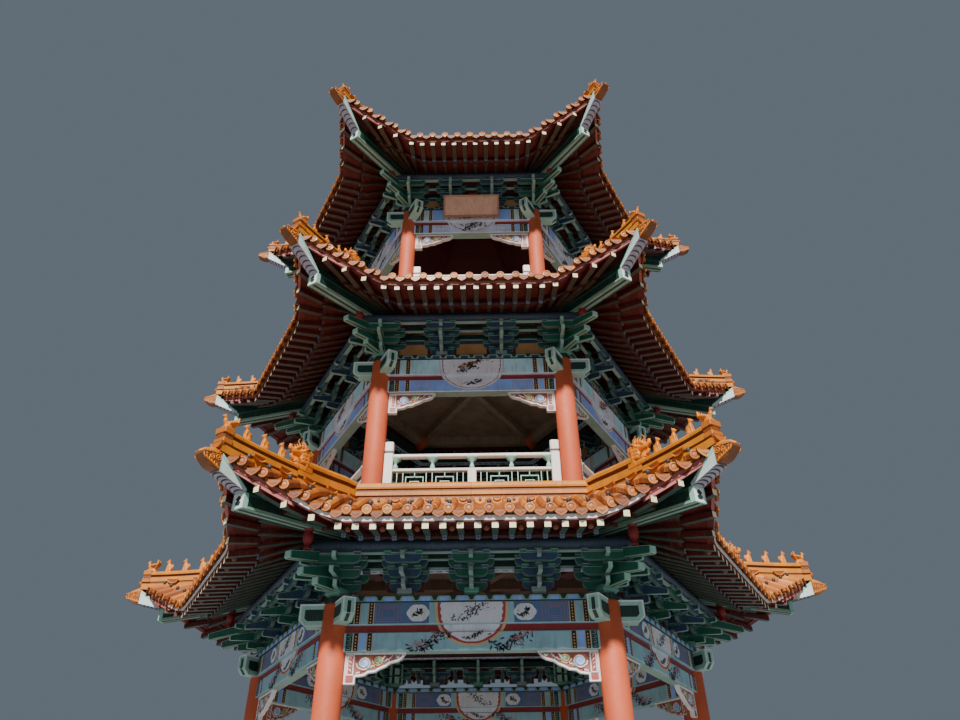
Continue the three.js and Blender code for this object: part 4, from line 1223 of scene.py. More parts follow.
def bracket_ring(storey):
    """All bracket sets of a storey, and the boards and tie beams that join them."""
    a, z, purlin_at = storey.a, storey.plate, storey.a + PURLIN_OUT
    corner = corner_set(0.0 if storey is GROUND else 0.09)
    forms = [on_sides(side_sets(storey)), on_corners(placed(corner, [0, storey.ring, z]))]
    for out, low, high in ((0.0, 0.47, 0.60), (0.26, 0.52, 0.62)):
        heights = (low, low, low + 0.014, high - 0.02, high, high, low + 0.014)
        section = zip((-0.035, 0.035, 0.035, 0.035, 0.035, -0.035, -0.035), heights)
        kinds = ["pale_line"] * 2 + ["green_deep"] * 4 + ["pale_line"]
        forms.append(hexagon_ring([(a + out + v, z + h) for v, h in section], kinds))
    if storey.sets == 2:
        forms.append(ring_bar(a, 0.012, z, z + 0.38, "beige"))
        forms.append(ring_bar(a, 0.012, z + 0.38, z + 0.47, "slate"))
    purlin = arc(PURLIN_RADIUS, PURLIN_RADIUS, circle(12)) + [purlin_at, storey.purlin]
    forms.append(hexagon_ring(purlin, "slate", smooth=True))
    top, thin = storey.purlin - 0.06, 0.04
    bearer = [(-thin, z + 0.545), (thin, z + 0.545), (thin, z + 0.560), (thin, top), (-thin, top)]
    kinds = ["pale_line"] * 2 + ["slate"] * 3
    forms.append(hexagon_ring([(purlin_at + v, h) for v, h in bearer], kinds))
    return joined(forms)


# Corner beams
def beam_length(x0, x1, ends, finish, end_finish=None):
    """A bar upright in section, from x0 to x1, through places (y, low z, high z). It has one finish,
    or those of its underside, its flanks and its top."""
    if not isinstance(finish, str):
        under, flank, top = finish
        finish = [under, flank, top, flank]
    rings = [[(x0, y, low), (x1, y, low), (x1, y, high), (x0, y, high)] for y, low, high in ends]
    return shell(rings, finish, ends=end_finish)


def underside_strips(start, end, places, drop=0.004):
    """Thin painted strips (x low, x high, finish) along the underside between two points (y, z)."""
    ends = [(y, z - drop, z + 0.003) for y, z in (start, end)]
    return [beam_length(x0, x1, ends, finish) for x0, x1, finish in places]


def turned_block(storey):
    """A red turned block between the top arm of a corner set and the corner beam."""
    out = (storey.a + PURLIN_OUT) / COS30 + 0.24
    top = storey.nose + storey.nose_slope * (storey.nose_out - out) + 0.01
    long = 1.0 if storey is GROUND else 0.70
    profile = [(0.050, -0.36), (0.060, -0.34), (0.060, -0.31), (0.035, -0.29), (0.070, -0.22),
               (0.088, -0.15), (0.078, -0.08), (0.045, -0.05), (0.075, -0.035), (0.075, 0.0)]
    return placed(lathe([(r, z * long) for r, z in profile], 16, "strip_red"), [0, out, top])


def nose_label(height):
    """The bordered square on the lower beam's nose, with a stepped knot in it."""
    rim = dict(edge="mint", border=0.014, line="mint", relief=0.003)
    knot = mirrored([(0.035, 0.05), (0.05, 0.09), (0.02, 0.12), (0.05, 0.15)])
    knot.insert(4, (0.0, 0.20))
    plate = board(rectangle(-0.11, 0.11, 0, height), 0.024, "white_paint", **rim)
    return joined([plate, board(knot, 0.032, "green_deep")])


def lower_beam(storey):
    """The lower beam: pale underside with three lines, banded flanks and a bordered square nose."""
    nose, low_end, half, height = storey.nose_out, storey.nose, 0.11, 0.24
    inner = (storey.a + PURLIN_OUT) / COS30 - 0.70
    low_inner = low_end + storey.nose_slope * (nose - inner)
    ends = [(inner, low_inner, low_inner + height), (nose, low_end, low_end + height)]
    forms = [beam_length(-half, half, ends, ("green_pale", "green_deep", "green_deep"), "white_paint")]
    lines = [(-0.022, 0.022, "ink"), (-half, -half + 0.012, "green_deep"), (half - 0.012, half, "green_deep")]
    forms += underside_strips((inner, low_inner), (nose - 0.03, low_end + 0.002), lines)
    side = ((inner + 0.1, low_inner + (low_end - low_inner) * 0.05), (nose - 0.06, low_end + 0.004))
    for x, outside in ((-half, -half - 0.004), (half, half + 0.004)):
        for low, high, finish in ((0.0, 0.04, "green_pale"), (0.20, 0.24, "green")):
            forms.append(beam_length(x, outside, [(y, z + low, z + high) for y, z in side], finish))
        rim = (x - 0.003, nose - 0.07, low_end + 0.003), (x + 0.003, nose - 0.002, low_end + height - 0.002)
        forms.append(box(*rim, "mint"))
    return [*forms, placed(nose_label(height), [0, nose + 0.004, low_end])]


def upper_beam(storey):
    """The upper beam on the nose of the lower one: a core, a pale beam thicker towards its tip, a
    line on each flank and six dark crescents on the underside, painted shade in the gaps between its scales."""
    nose, height, half = storey.nose_out, storey.nose, 0.105
    foot = float(storey.corner(storey.eave, storey.eave_z)[1]) - 0.08
    start, end = np.array((nose - 0.01, height + 0.235)), np.array((storey.tip - 0.335, foot))
    core = [(nose - 0.75, height + 0.30, height + 0.44), (start[0], start[1] + 0.004, start[1] + 0.22),
            (end[0] - 0.02, end[1] + 0.05, end[1] + 0.25)]
    pale = [(*start, start[1] + 0.05), (*end, end[1] + 0.27)]
    line = [(start[0], start[1] + 0.03, start[1] + 0.05), (end[0], end[1] + 0.21, end[1] + 0.27)]
    forms = [beam_length(-0.092, 0.092, core, "green_deep"),
             beam_length(-half, half, pale, ("lilac", "pale_mint", "grey_paint"), "grey_paint")]
    forms += [beam_length(side * half, side * (half + 0.004), line, "mint") for side in (-1, 1)]
    c, s = (end - start) / np.linalg.norm(end - start)
    turn = np.array([[1, 0, 0], [0, s, c], [0, -c, s]])
    t = np.linspace(0, np.pi, 9)
    crescent = np.concatenate([arc(0.095, 0.055, t), arc(0.095, 0.083, t[-2:0:-1])])
    # Dark crescents stand in for the shade between the underside's scales.
    for row in range(6):
        y, z = start + (end - start) * (row + 0.35) / 6.3 + np.array([s, -c]) * 0.002
        forms.append(copies(board(crescent, 0.008, "ink"), turn, [0, y, z]))
    return forms


def corner_beam(storey):
    """The block, the lower beam with its square nose and the upper beam on it."""
    return joined([turned_block(storey), *lower_beam(storey), *upper_beam(storey)])


# Ridges
def ridge_section():
    """Section of a hip ridge one high: foot, fillet, body, fillet and round cap. The sunk fillets take the
    dark glaze as painted shade.
    """
    right = [(0.10, 0.0), (0.10, 0.20), (0.072, 0.24), (0.072, 0.30), (0.088, 0.34), (0.088, 0.60),
             (0.060, 0.64), (0.060, 0.71), (0.098, 0.75), (0.102, 0.86), (0.085, 0.94), (0.045, 1.0)]
    # Dark glaze on the sunk fillets: painted shade in the recesses.
    kinds = ["ridge"] + ["ridge_dark"] * 3 + ["ridge"] + ["ridge_dark"] * 3 + ["ridge"] * 3
    return np.array(mirrored(right)), kinds + ["ridge"] + kinds[::-1] + ["ridge_dark"]


def hip_line(storey):
    """Points along a hip, from the ring or the hub out to the blunt end."""
    start = storey.inner + 0.02 if storey.floor else 0.56 * COS30
    d = np.linspace(start, storey.edge, 60)
    r, z = storey.corner(d, storey.over(d))
    return np.append(r, storey.tip - RIDGE_END), np.append(z, z[-1] + 0.01)


def ridge_run(storey, low, high, rise, highest=None):
    """The ridge between two distances from the axis: its section stretched to the rise, and no higher
    than the ring it meets."""
    section, finish = ridge_section()
    line_r, line_z = hip_line(storey)
    inside = line_r[(line_r > low + 0.02) & (line_r < high - 0.02)][::3]
    r = np.concatenate([[low], inside, [high]])
    z = np.interp(r, line_r, line_z)
    tall = np.full_like(r, rise) if highest is None else np.minimum(rise, highest - z)
    heights = z[:, None] + section[:, 1] * tall[:, None]
    rings = np.stack(np.broadcast_arrays(section[:, 0], r[:, None], heights), -1)
    rings[:, section[:, 1] == 0, 2] -= 0.05
    form = shell(rings, finish, ends="ridge_dark")
    form.tint[:] = np.repeat(random.uniform(0.2, 0.85, len(r)), len(section))
    return form


def half_round(across, up, lift, steps, depth, finish, **rim):
    """A half-round tile, its round side down: a board whose outline is the lower half of an ellipse."""
    outline = arc(across, up, np.linspace(np.pi, 2 * np.pi, steps)) + [0, lift]
    return board(outline, depth, finish, **rim)


# Slabs of a ridge end: half width, lowest and highest shares of the rise, how far out, finish, chamfer
END_SLABS = ((0.105, 0.28, 0.50, 0.010, "tile_cap", 0.008), (0.090, 0.49, 0.74, -0.012, "ridge_dark", 0.0),
             (0.108, 0.73, 1.0, 0.014, "tile_cap", 0.008))


def ridge_end(storey):
    """The layered end of a hip ridge: two square slabs with a sunk course between them, dark as
    painted shade, and a half-round tile below."""
    end, z, rise = storey.tip - RIDGE_END, hip_line(storey)[1][-1], storey.front
    bowl = half_round(0.120, 0.10, 0.07, 9, 0.05, "tile_cap", border=0.016, relief=0.008)
    forms = [placed(bowl, [0, end + 0.015, z + 0.030])]
    for half, low, high, out, finish, chamfer in END_SLABS:
        corners = (-half, end - 0.16, z + rise * low), (half, end + out, z + rise * high + 0.003)
        forms.append(box(*corners, finish, chamfer))
    return joined(forms)


def hip_ridge(storey):
    """A hip ridge: tall behind the large beast, lower in front of it, and its layered end."""
    step = storey.tip - RIDGE_STEP
    start = hip_line(storey)[0][0]
    highest = storey.floor + 0.40 if storey.floor else None
    behind = ridge_run(storey, start, step, RIDGE_RISE, highest)
    ahead = ridge_run(storey, step - 0.01, storey.tip - RIDGE_END, storey.front)
    return joined([behind, ahead, ridge_end(storey)])


def ridge_crescents(storey):
    """Half-round tiles like small bowls along both feet of a hip ridge."""
    r, z = hip_line(storey)
    places = np.arange(r[0] + 0.3, r[-1] - 0.25, 0.54)
    heights = np.interp(places, r, z) + 0.035
    rim = dict(edge="tile_cap", border=0.020, line="tile_cap", relief=0.014)
    bowl = copies(half_round(0.118, 0.085, 0.10, 9, 0.05, "ridge_dark", **rim), SWAP)
    rows = [np.column_stack([np.full_like(places, x), places, heights]) for x in (-0.125, 0.125)]
    return joined([placed(bowl, row) for row in rows])


def sculpted(forms, voxel, ratio, softness=0.5):
    """One closed skin round overlapping forms of a figure: remeshed, smoothed and thinned."""
    form = joined(forms)
    mesh = bpy.data.meshes.new("clay")
    faces = [tuple(f) for group, _, _ in form.groups for f in group]
    mesh.from_pydata(form.points, [], faces)
    clay = bpy.data.objects.new("clay", mesh)
    bpy.context.scene.collection.objects.link(clay)
    skin = clay.modifiers.new("skin", "REMESH")
    skin.mode, skin.voxel_size = "VOXEL", voxel
    smooth = clay.modifiers.new("smooth", "SMOOTH")
    smooth.factor, smooth.iterations = softness, 2
    thin = clay.modifiers.new("thin", "DECIMATE")
    thin.ratio = ratio
    bpy.context.view_layer.update()
    ready = clay.evaluated_get(bpy.context.evaluated_depsgraph_get()).to_mesh()
    points = np.zeros(len(ready.vertices) * 3)
    ready.vertices.foreach_get("co", points)
    ready.calc_loop_triangles()
    triangles = np.zeros(len(ready.loop_triangles) * 3, np.int32)
    ready.loop_triangles.foreach_get("vertices", triangles)
    bpy.data.objects.remove(clay)
    bpy.data.meshes.remove(mesh)
    return outward(Form(points, [(triangles.reshape(-1, 3), "figure", True)]))


def clay_ball(centre, radii):
    """A rounded lump of a figure."""
    return ball(centre, radii, "figure")


def clay_limb(points, radii, segments=8):
    """A tapering roll of a figure."""
    return limb(points, radii, "figure", segments)


def small_beast():
    """A small seated beast, facing out along y, 0.27 m high."""
    lumps = (((0, -0.02, 0.075), (0.045, 0.060, 0.075)), ((0, 0.015, 0.125), (0.038, 0.042, 0.055)),
             ((0, 0.03, 0.195), (0.034, 0.040, 0.036)), ((0, 0.068, 0.186), (0.020, 0.028, 0.018)))
    forms = [clay_ball(*lump) for lump in lumps]
    for x in (-0.024, 0.024):
        forms.append(clay_limb([(x, 0.035, 0.13), (x, 0.05, 0.07), (x, 0.055, 0.0)], (0.018, 0.014, 0.016)))
        forms.append(clay_ball((x * 1.5, -0.02, 0.03), (0.022, 0.05, 0.032)))
        forms.append(clay_limb([(x * 0.8, 0.02, 0.215), (x * 1.1, 0.012, 0.245)], (0.012, 0.005)))
    forms.append(clay_limb([(0, -0.06, 0.04), (0, -0.085, 0.10), (0, -0.07, 0.15)], (0.016, 0.018, 0.008)))
    forms.append(box((-0.045, -0.075, -0.02), (0.045, 0.075, 0.008), "figure"))
    return sculpted(forms, 0.009, 0.11)


def end_bird():
    """The wide figure at the very end: a seated bird with a raised tail and folded wings."""
    lumps = (((0, 0.0, 0.09), (0.055, 0.085, 0.06)), ((0, 0.07, 0.14), (0.030, 0.035, 0.045)),
             ((0, 0.09, 0.20), (0.026, 0.030, 0.028)))
    forms = [clay_ball(*lump) for lump in lumps]
    forms.append(clay_limb([(0, 0.11, 0.20), (0, 0.145, 0.19)], (0.012, 0.004)))
    for x in (-1, 1):
        wing = [(x * 0.05, 0.03, 0.12), (x * 0.075, -0.03, 0.13), (x * 0.07, -0.10, 0.16)]
        forms.append(clay_limb(wing, (0.02, 0.026, 0.008)))
    for x in (-0.05, -0.018, 0.018, 0.05):
        feather = [(x * 0.5, -0.06, 0.09), (x, -0.11, 0.17), (x * 1.3, -0.10, 0.25)]
        forms.append(clay_limb(feather, (0.024, 0.024, 0.010)))
    forms.append(clay_limb([(0, 0.085, 0.22), (0, 0.07, 0.25)], (0.012, 0.006)))
    forms.append(box((-0.05, -0.09, -0.02), (0.05, 0.09, 0.05), "figure"))
    return sculpted(forms, 0.009, 0.11)


# Rolls of the large beast: neck, upper jaw with its snout, lower jaw and tongue
BEAST_ROLLS = (
    ([(0, -0.13, -0.06), (0, -0.15, 0.08), (0, -0.13, 0.20), (0, -0.10, 0.28)], (0.105, 0.115, 0.105, 0.075)),
    ([(0, -0.12, 0.23), (0, -0.02, 0.255), (0, 0.07, 0.25), (0, 0.125, 0.285), (0, 0.125, 0.345),
      (0, 0.085, 0.355)], (0.085, 0.075, 0.052, 0.036, 0.026, 0.014)),
    ([(0, -0.09, 0.12), (0, 0.01, 0.095), (0, 0.075, 0.115), (0, 0.115, 0.165)], (0.07, 0.05, 0.032, 0.014)),
    ([(0, 0.0, 0.165), (0, 0.06, 0.165), (0, 0.095, 0.19)], (0.026, 0.018, 0.010)))
# Flame locks above its brow: y, z and length
BEAST_LOCKS = ((0.05, 0.315, 0.055), (0.01, 0.335, 0.085), (-0.04, 0.345, 0.11), (-0.09, 0.34, 0.13),
               (-0.13, 0.31, 0.13))


def beast_cheek(x):
    """One side of the large beast, x of -1 or 1: eye, flame locks, rows of curls, beard, teeth and ear."""
    forms = [clay_ball((x * 0.052, 0.035, 0.300), (0.024, 0.026, 0.024))]
    for y, z, long in BEAST_LOCKS:
        path = [(x * 0.04, y, z - 0.03), (x * 0.055, y - 0.02, z + long * 0.35),
                (x * 0.05, y - 0.01 + long * 0.1, z + long * 0.8), (x * 0.045, y + 0.02, z + long)]
        forms.append(clay_limb(path, (0.026, 0.021, 0.012, 0.004), 6))
    steps = 10
    t, reach = np.linspace(0, 2.4 * np.pi, steps), np.linspace(0.034, 0.008, steps)
    for row in range(4):
        for column in range(3):
            y, z = -0.225 + 0.068 * column + 0.008 * row, 0.285 - 0.072 * row - 0.012 * column
            side = np.full(steps, x * (0.100 - 0.035 * (column == 0)))
            curl = np.column_stack([side, y + reach * np.cos(t), z + reach * np.sin(t)])
            forms.append(clay_limb(curl, np.linspace(0.016, 0.012, steps), 6))
    for k in range(3):
        y = 0.03 * k
        hair = [(x * 0.045, y - 0.02, 0.08), (x * 0.055, y, 0.03), (x * 0.045, y + 0.04, 0.012 * k)]
        forms.append(clay_limb(hair, (0.022, 0.017, 0.005), 6))
    for y in (0.03, 0.065, 0.095):
        forms.append(clay_limb([(x * 0.032, y, 0.225), (x * 0.034, y + 0.004, 0.188)], (0.012, 0.003), 5))
    ear = [(x * 0.06, -0.05, 0.27), (x * 0.115, -0.09, 0.305), (x * 0.125, -0.13, 0.335)]
    return [*forms, clay_limb(ear, (0.026, 0.019, 0.005))]


def great_beast():
    """The large horned head on the hip: an open mouth with a curled snout, flame locks above, rows of
    curls behind, a beard and two thin horns."""
    forms = [clay_limb(*roll) for roll in BEAST_ROLLS] + beast_cheek(-1) + beast_cheek(1)
    for k in range(4):
        drop = 0.08 * k
        spine = [(0, -0.19 - 0.006 * k, 0.30 - drop), (0, -0.255, 0.325 - drop), (0, -0.265, 0.37 - drop)]
        forms.append(clay_limb(spine, (0.032, 0.022, 0.006), 6))
    forms.append(box((-0.095, -0.26, -0.10), (0.095, 0.06, 0.0), "figure"))
    head = sculpted(forms, 0.0085, 0.14, 0.3)
    horns = []
    for x in (-1, 1):
        path = [(x * 0.03, -0.06, 0.33), (x * 0.045, x * 0.05 - 0.06, 0.39),
                (x * 0.03, x * 0.09 - 0.07, 0.46), (x * 0.02, x * 0.04 - 0.06, 0.53)]
        horns.append(clay_limb(path, (0.010, 0.009, 0.007, 0.004), 6))
    return joined([head, *horns])


def cap_flank(x):
    """The carving on one flank of a corner beam's cap, x out: two spirals, flames below them, locks
    above and a boss on the nose."""
    forms, steps = [], 19
    for cy, cz, radius, start in ((0.078, 0.205, 0.066, 0.3), (0.185, 0.172, 0.048, 1.4)):
        t = np.linspace(start, start + 3.6 * np.pi, steps)
        reach = radius * np.linspace(1.0, 0.12, steps)
        path = np.column_stack([np.full(steps, x), cy + reach * np.cos(t), cz + reach * np.sin(t)])
        forms.append(clay_limb(path, 0.0085, 5))
    for k in range(6):
        y, z = 0.035 + 0.048 * k, 0.052 + 0.014 * k
        flame = [(x, y - 0.02, z - 0.012), (x, y + 0.02, z), (x, y + 0.046, z + 0.030),
                 (x, y + 0.045, z + 0.060)]
        forms.append(clay_limb(flame, (0.008, 0.013, 0.010, 0.004), 5))
        y, z = 0.060 + 0.044 * k, 0.295 - 0.012 * k
        lock = [(x, y - 0.035, z), (x, y, z - 0.018), (x, y + 0.030, z - 0.020), (x, y + 0.050, z - 0.002)]
        forms.append(clay_limb(lock, (0.006, 0.011, 0.009, 0.004), 5))
    return [*forms, ball((x, 0.272, 0.185), (0.008, 0.020, 0.016), "figure", 5, 8)]


def beast_cap():
    """The cap on the corner beam's tip: a long wedge, upright at the back, with a nose half way up in
    front. Two big scrolls and a row of flames run along each flank. Its rear foot lies at y = 0, z = 0."""
    back_low, back_high = np.array((0.0, 0.03)), np.array((0.0, 0.31))
    front_low, front_high = np.array((0.340, 0.165)), np.array((0.325, 0.220))
    share = np.linspace(0, 1, 9)[:, None]
    hollow = np.concatenate([0 * share, -0.062 * np.sin(np.pi * share ** 1.1)], 1)
    swell = np.concatenate([0 * share, 0.018 * np.sin(2 * np.pi * share)], 1)
    under = (1 - share) * back_low + share * front_low + hollow
    over = (1 - share) * front_high + share * back_high + swell
    outline = np.concatenate([under, [(0.348, 0.195)], over])
    middle = np.array([0.13, 0.17])
    rings = []
    for x, size in ((-0.090, 0.86), (-0.076, 1.0), (0.076, 1.0), (0.090, 0.86)):
        rings.append(np.column_stack([np.full(len(outline), x), middle + (outline - middle) * size]))
    crest = [(0, 0.02, 0.315), (0, 0.12, 0.305), (0, 0.25, 0.262), (0, 0.352, 0.205)]
    carving = cap_flank(-0.090) + cap_flank(0.090) + [clay_limb(crest, (0.045, 0.05, 0.042, 0.018))]
    # The dark brown body is painted shade on the cap's front and underside; the carving keeps the glaze.
    return joined([shell(rings, "cap_brown"), *carving])


def ring_reach(storey):
    """Inner edge and width of the ridge against the storey above, or of the hub."""
    inner = storey.inner + 0.005
    return inner, storey.a - storey.inner - 0.015 if storey.floor else 0.325


def ridge_ring(storey):
    """The moulded ridge against the storey above, or the hub round the finial's foot, in pieces with
    fine joints between them."""
    inner, wide = ring_reach(storey)
    top = storey.floor + 0.37 if storey.floor else APEX - 0.002
    foot_far, foot_near = storey.over(inner + wide) - 0.04, storey.over(inner) - 0.04
    start, rise = foot_far + 0.04, top - foot_far - 0.04
    steps = [(0.0, 0.26), (-0.03, 0.30), (-0.03, 0.36), (-0.004, 0.40), (-0.004, 0.56), (-0.03, 0.60),
             (-0.03, 0.66), (-0.006, 0.70), (0.0, 0.78), (-0.004, 0.90), (-0.03, 0.98), (-0.06, 1.0)]
    outer = [(inner + wide, foot_far)] + [(inner + wide + v, start + rise * h) for v, h in steps]
    # The sunk steps of the moulding take the dark glaze: painted shade in the grooves.
    kinds = ["ridge"] + ["ridge_dark"] * 3 + ["ridge"] + ["ridge_dark"] * 3 + ["ridge"] * 5 + ["mortar"] * 2
    profile = np.array(outer + [(inner, top), (inner, foot_near)])
    half, stone, groove = (inner + wide) * TAN30, 0.55, 0.006
    count = max(1, int(round(2 * half / stone)))
    places = [(-1.0, 0.0, 0.5)]
    for u in np.linspace(-half, half, count + 1)[1:-1]:
        left, right = random.uniform(0.2, 0.9, 2)
        places += [((u - 0.005) / half, 0.0, left), ((u - 0.003) / half, groove, left),
                   ((u + 0.003) / half, groove, right), ((u + 0.005) / half, 0.0, right)]
    share, deep, tint = np.array(places).T
    v = profile[None, :, 0] - deep[:, None] * (np.arange(len(profile)) < len(outer))
    u = share[:, None] * profile[None, :, 0] * TAN30
    side = np.stack([u, v, np.broadcast_to(profile[:, 1], v.shape)], -1)
    form = round_sides(side, kinds)
    form.tint[:] = np.tile(np.repeat(tint, len(profile)), SIDES)
    return form


def ridge_rosettes(storey):
    """Small discs and shield tiles along the foot of the ridge ring."""
    out, step = sum(ring_reach(storey)), TILE_ROW * 0.5
    count = int((out * TAN30 - 0.12) / step)
    u = np.arange(-count, count + 1) * step
    z = storey.over(out) + 0.075
    disc = board(arc(0.028, 0.028, circle(8)), 0.03, "ridge_dark")
    shield = half_round(0.075, 0.06, 0.02, 7, 0.03, "tile_cap", border=0.012, relief=0.006)
    discs = placed(disc, [[x, out + 0.008, z] for k, x in enumerate(u) if k % 4])
    shields = placed(shield, [[x, out + 0.010, z] for x in u[::4]])
    return on_sides(joined([discs, shields]))


def ridges(storey, beast, great, bird):
    """Hip ridges with their tiles and figures, and the ring or hub they meet."""
    r, z = hip_line(storey)
    large = storey is GROUND

    def standing(form, back, size):
        """A figure on the ridge, square to its slope, that far back from the eave corner."""
        place = storey.tip - back
        height = np.interp(place, r, z) + storey.front - 0.004
        slope = math.atan2(np.interp(place + 0.05, r, z) - np.interp(place - 0.05, r, z), 0.1)
        c, s = math.cos(slope), math.sin(slope)
        turn = np.array([[1, 0, 0], [0, c, -s * 0.3], [0, s, c]]) * size
        return copies(form, turn, [0, place, height])

    forms = [hip_ridge(storey), ridge_crescents(storey)]
    size = 1.15 if large else 0.95
    slim = copies(beast, np.diag([0.80, 0.80, 1.0]))
    forms.append(standing(bird, 0.40, size * 0.92))
    forms += [standing(slim, back, size) for back in (0.76, 1.12, 1.49)]
    head = copies(great, np.diag([1.0, 1.22, 0.90]))
    forms.append(standing(head, RIDGE_STEP + (0.12 if storey is THIRD else 0), 1.0 if large else 0.88))
    parts = [on_corners(joined(forms)), ridge_ring(storey)]
    return joined(parts + ([ridge_rosettes(storey)] if storey.floor else []))


# Upper storeys
def vase():
    """A vase support: a small foot, a thin neck and a flared top."""
    profile = [(0.036, 0.0), (0.046, 0.02), (0.048, 0.05), (0.036, 0.085), (0.023, 0.112), (0.030, 0.130),
               (0.100, 0.205), (0.104, 0.215), (0.104, 0.235)]
    return lathe(profile, 12, "mint")


# Heights of a balustrade over the floor: panel below the fret, and the fret's top
FRET_LOW, FRET_TOP = 0.11, 0.79


def balustrade(storey, floor):
    """The balustrade between two columns, in the side frame: two posts with capped heads, a hand
    rail on vases, a middle rail, a fret under it, a plinth and a post in the middle."""
    half = storey.half - storey.column / 2 - 0.003
    a, post = storey.a, 0.165
    edge, forms = half - post, []

    def block(x, half_x, half_y, low, high, chamfer, finish="marble"):
        """A block about x between two heights over the floor."""
        corners = (x - half_x, a - half_y, floor + low), (x + half_x, a + half_y, floor + high)
        forms.append(box(*corners, finish, chamfer))

    for end in (-1, 1):
        x, h = end * (half - post / 2), post / 2
        block(x, h, h, 0.0, 1.16, 0.010)
        block(x, h - 0.012, h - 0.012, 1.15, 1.20, 0.0, "ink")
        block(x, h, h, 1.19, 1.40, 0.016)
    block(0, edge + 0.01, 0.058, 1.075, 1.145, 0.016)
    block(0, edge + 0.01, 0.05, FRET_TOP, 0.850, 0.012)
    block(0, edge + 0.01, 0.06, 0.0, FRET_LOW, 0.01)
    block(0, 0.08, 0.055, 0.10, 0.80, 0.01)
    forms.append(placed(vase(), [(edge * k, a, floor + 0.845) for k in (-0.97, -0.5, 0, 0.5, 0.97)]))
    return joined(forms + fret(edge, a, floor))


def fret(edge, a, floor):
    """The open fret under the middle rail: upright bars, and squares hung on them."""
    low, high, thick, start = floor + FRET_LOW, floor + FRET_TOP, 0.0075, 0.08
    width, hang = edge - start, 0.11
    forms = []

    def bar(x0, x1, z0, z1):
        """A bar of the fret between two places and two heights."""
        forms.append(box((x0, a - 0.016, z0), (x1, a + 0.016, z1), "mint"))

    for side in (-1, 1):
        for share in (0.06, 0.14, 0.47, 0.55, 0.86, 0.94):
            x = side * (start + width * share)
            bar(x - thick, x + thick, low, high)
        for middle in (0.305, 0.705):
            x = side * (start + width * middle)
            for size, drop in ((0.115, hang), (0.0575, 0.20)):
                w = width * size
                bar(x - w - thick, x + w + thick, high - drop, high - drop + 2 * thick)
                bar(x - w - thick, x + w + thick, low + drop - 2 * thick, low + drop)
                for flank in (x - w, x + w):
                    bar(flank - thick, flank + thick, low + drop, high - drop)
            bar(x - thick, x + thick, high - hang, high)
            bar(x - thick, x + thick, low, low + hang)
    return forms


# Base and top
def edge_stones():
    """The edge stones of both courses along one side, with fine joints and a soft upper edge."""
    stones, depth, gap, c = 7, 0.40, 0.004, 0.012
    shares = np.linspace(-1, 1, stones + 1) * TAN30
    forms = []
    for outer, low, high in COURSES:
        inner = outer - depth
        for left, right in zip(shares, shares[1:]):
            base = [(outer * left + gap, outer), (outer * right - gap, outer), (inner * right - gap, inner),
                    (inner * left + gap, inner)]
            top = np.array(base) + [(c, -c), (-c, -c), (-c, c), (c, c)]
            rings = level_rings(base, (low + 0.003, high - c)) + level_rings(top, (high,))
            forms.append(shell(rings, "stone"))
    return joined(forms)


def paving():
    """Square slabs in running bond, cut off along the inner line of the upper course."""
    size, slab, reach = 0.60, 0.297, 3.996
    normals = arc(1, 1, circle(SIDES, -np.pi / 2))
    forms = []
    for i in range(-7, 8):
        for j in range(-7, 8):
            x, y = i * size + (size / 2 if j % 2 else 0), j * size
            outline = clipped(rectangle(x - slab, x + slab, y - slab, y + slab), normals, reach)
            if len(outline) > 2:
                forms.append(shell(level_rings(outline, (0.27, 0.30)), "stone"))
    return forms


def platform():
    """The stone base: edge stones and paving in two courses, and a moulded drum under each column."""
    edges = on_sides(edge_stones())
    edges.tint = np.repeat(random.random(len(edges.points) // 12), 12)
    sizes = ((4.0, 0.0, 0.285), (4.74, 0.0, 0.14), (4.39, 0.14, 0.288))
    beds = [hexagon_slab(*size, "stone_joint") for size in sizes]
    profile = [(0.325, 0.295), (0.325, 0.33), (0.305, 0.345), (0.318, 0.37), (0.318, 0.385), (0.285, 0.41),
               (0.25, 0.4297)]
    drums = placed(lathe(profile, 36, "stone"), six_places(GROUND.ring))
    return joined([edges, *paving(), *beds, drums])


def clipped(outline, normals, reach):
    """An outline cut off by the lines n . p = reach, one after another."""
    points = [np.array(p) for p in outline]
    for n in normals:
        kept = []
        for p, q in zip(points, points[1:] + points[:1]):
            dp, dq = p @ n - reach, q @ n - reach
            if dp <= 0:
                kept.append(p)
            if dp * dq < 0:
                kept.append(p + (q - p) * dp / (dp - dq))
        points = kept
    return np.array(points)


def hexagon_slab(apothem, low, high, finish):
    """A flat hexagonal slab."""
    return shell(level_rings(arc(1, 1, circle(SIDES)) * apothem / COS30, (low, high)), finish)


def finial():
    """The glazed finial: a moulded foot, a lotus ring, a bulb and a tapering tip."""
    foot = [(0.168, -0.34), (0.168, 0.002), (0.50, 0.002), (0.535, 0.03), (0.538, 0.09), (0.50, 0.13),
            (0.42, 0.16)]
    lotus = [(0.395, 0.20), (0.40, 0.235), (0.44, 0.28), (0.458, 0.33), (0.44, 0.39), (0.36, 0.45)]
    bulb = [(0.265, 0.50), (0.262, 0.54), (0.31, 0.62), (0.345, 0.72), (0.352, 0.81), (0.33, 0.91),
            (0.27, 1.00)]
    tip = [(0.20, 1.07), (0.165, 1.11), (0.17, 1.15), (0.15, 1.20), (0.09, 1.29), (0.04, 1.37), (0.01, 1.418)]
    return placed(lathe(foot + lotus + bulb + tip, 48, "figure"), [0, 0, APEX])


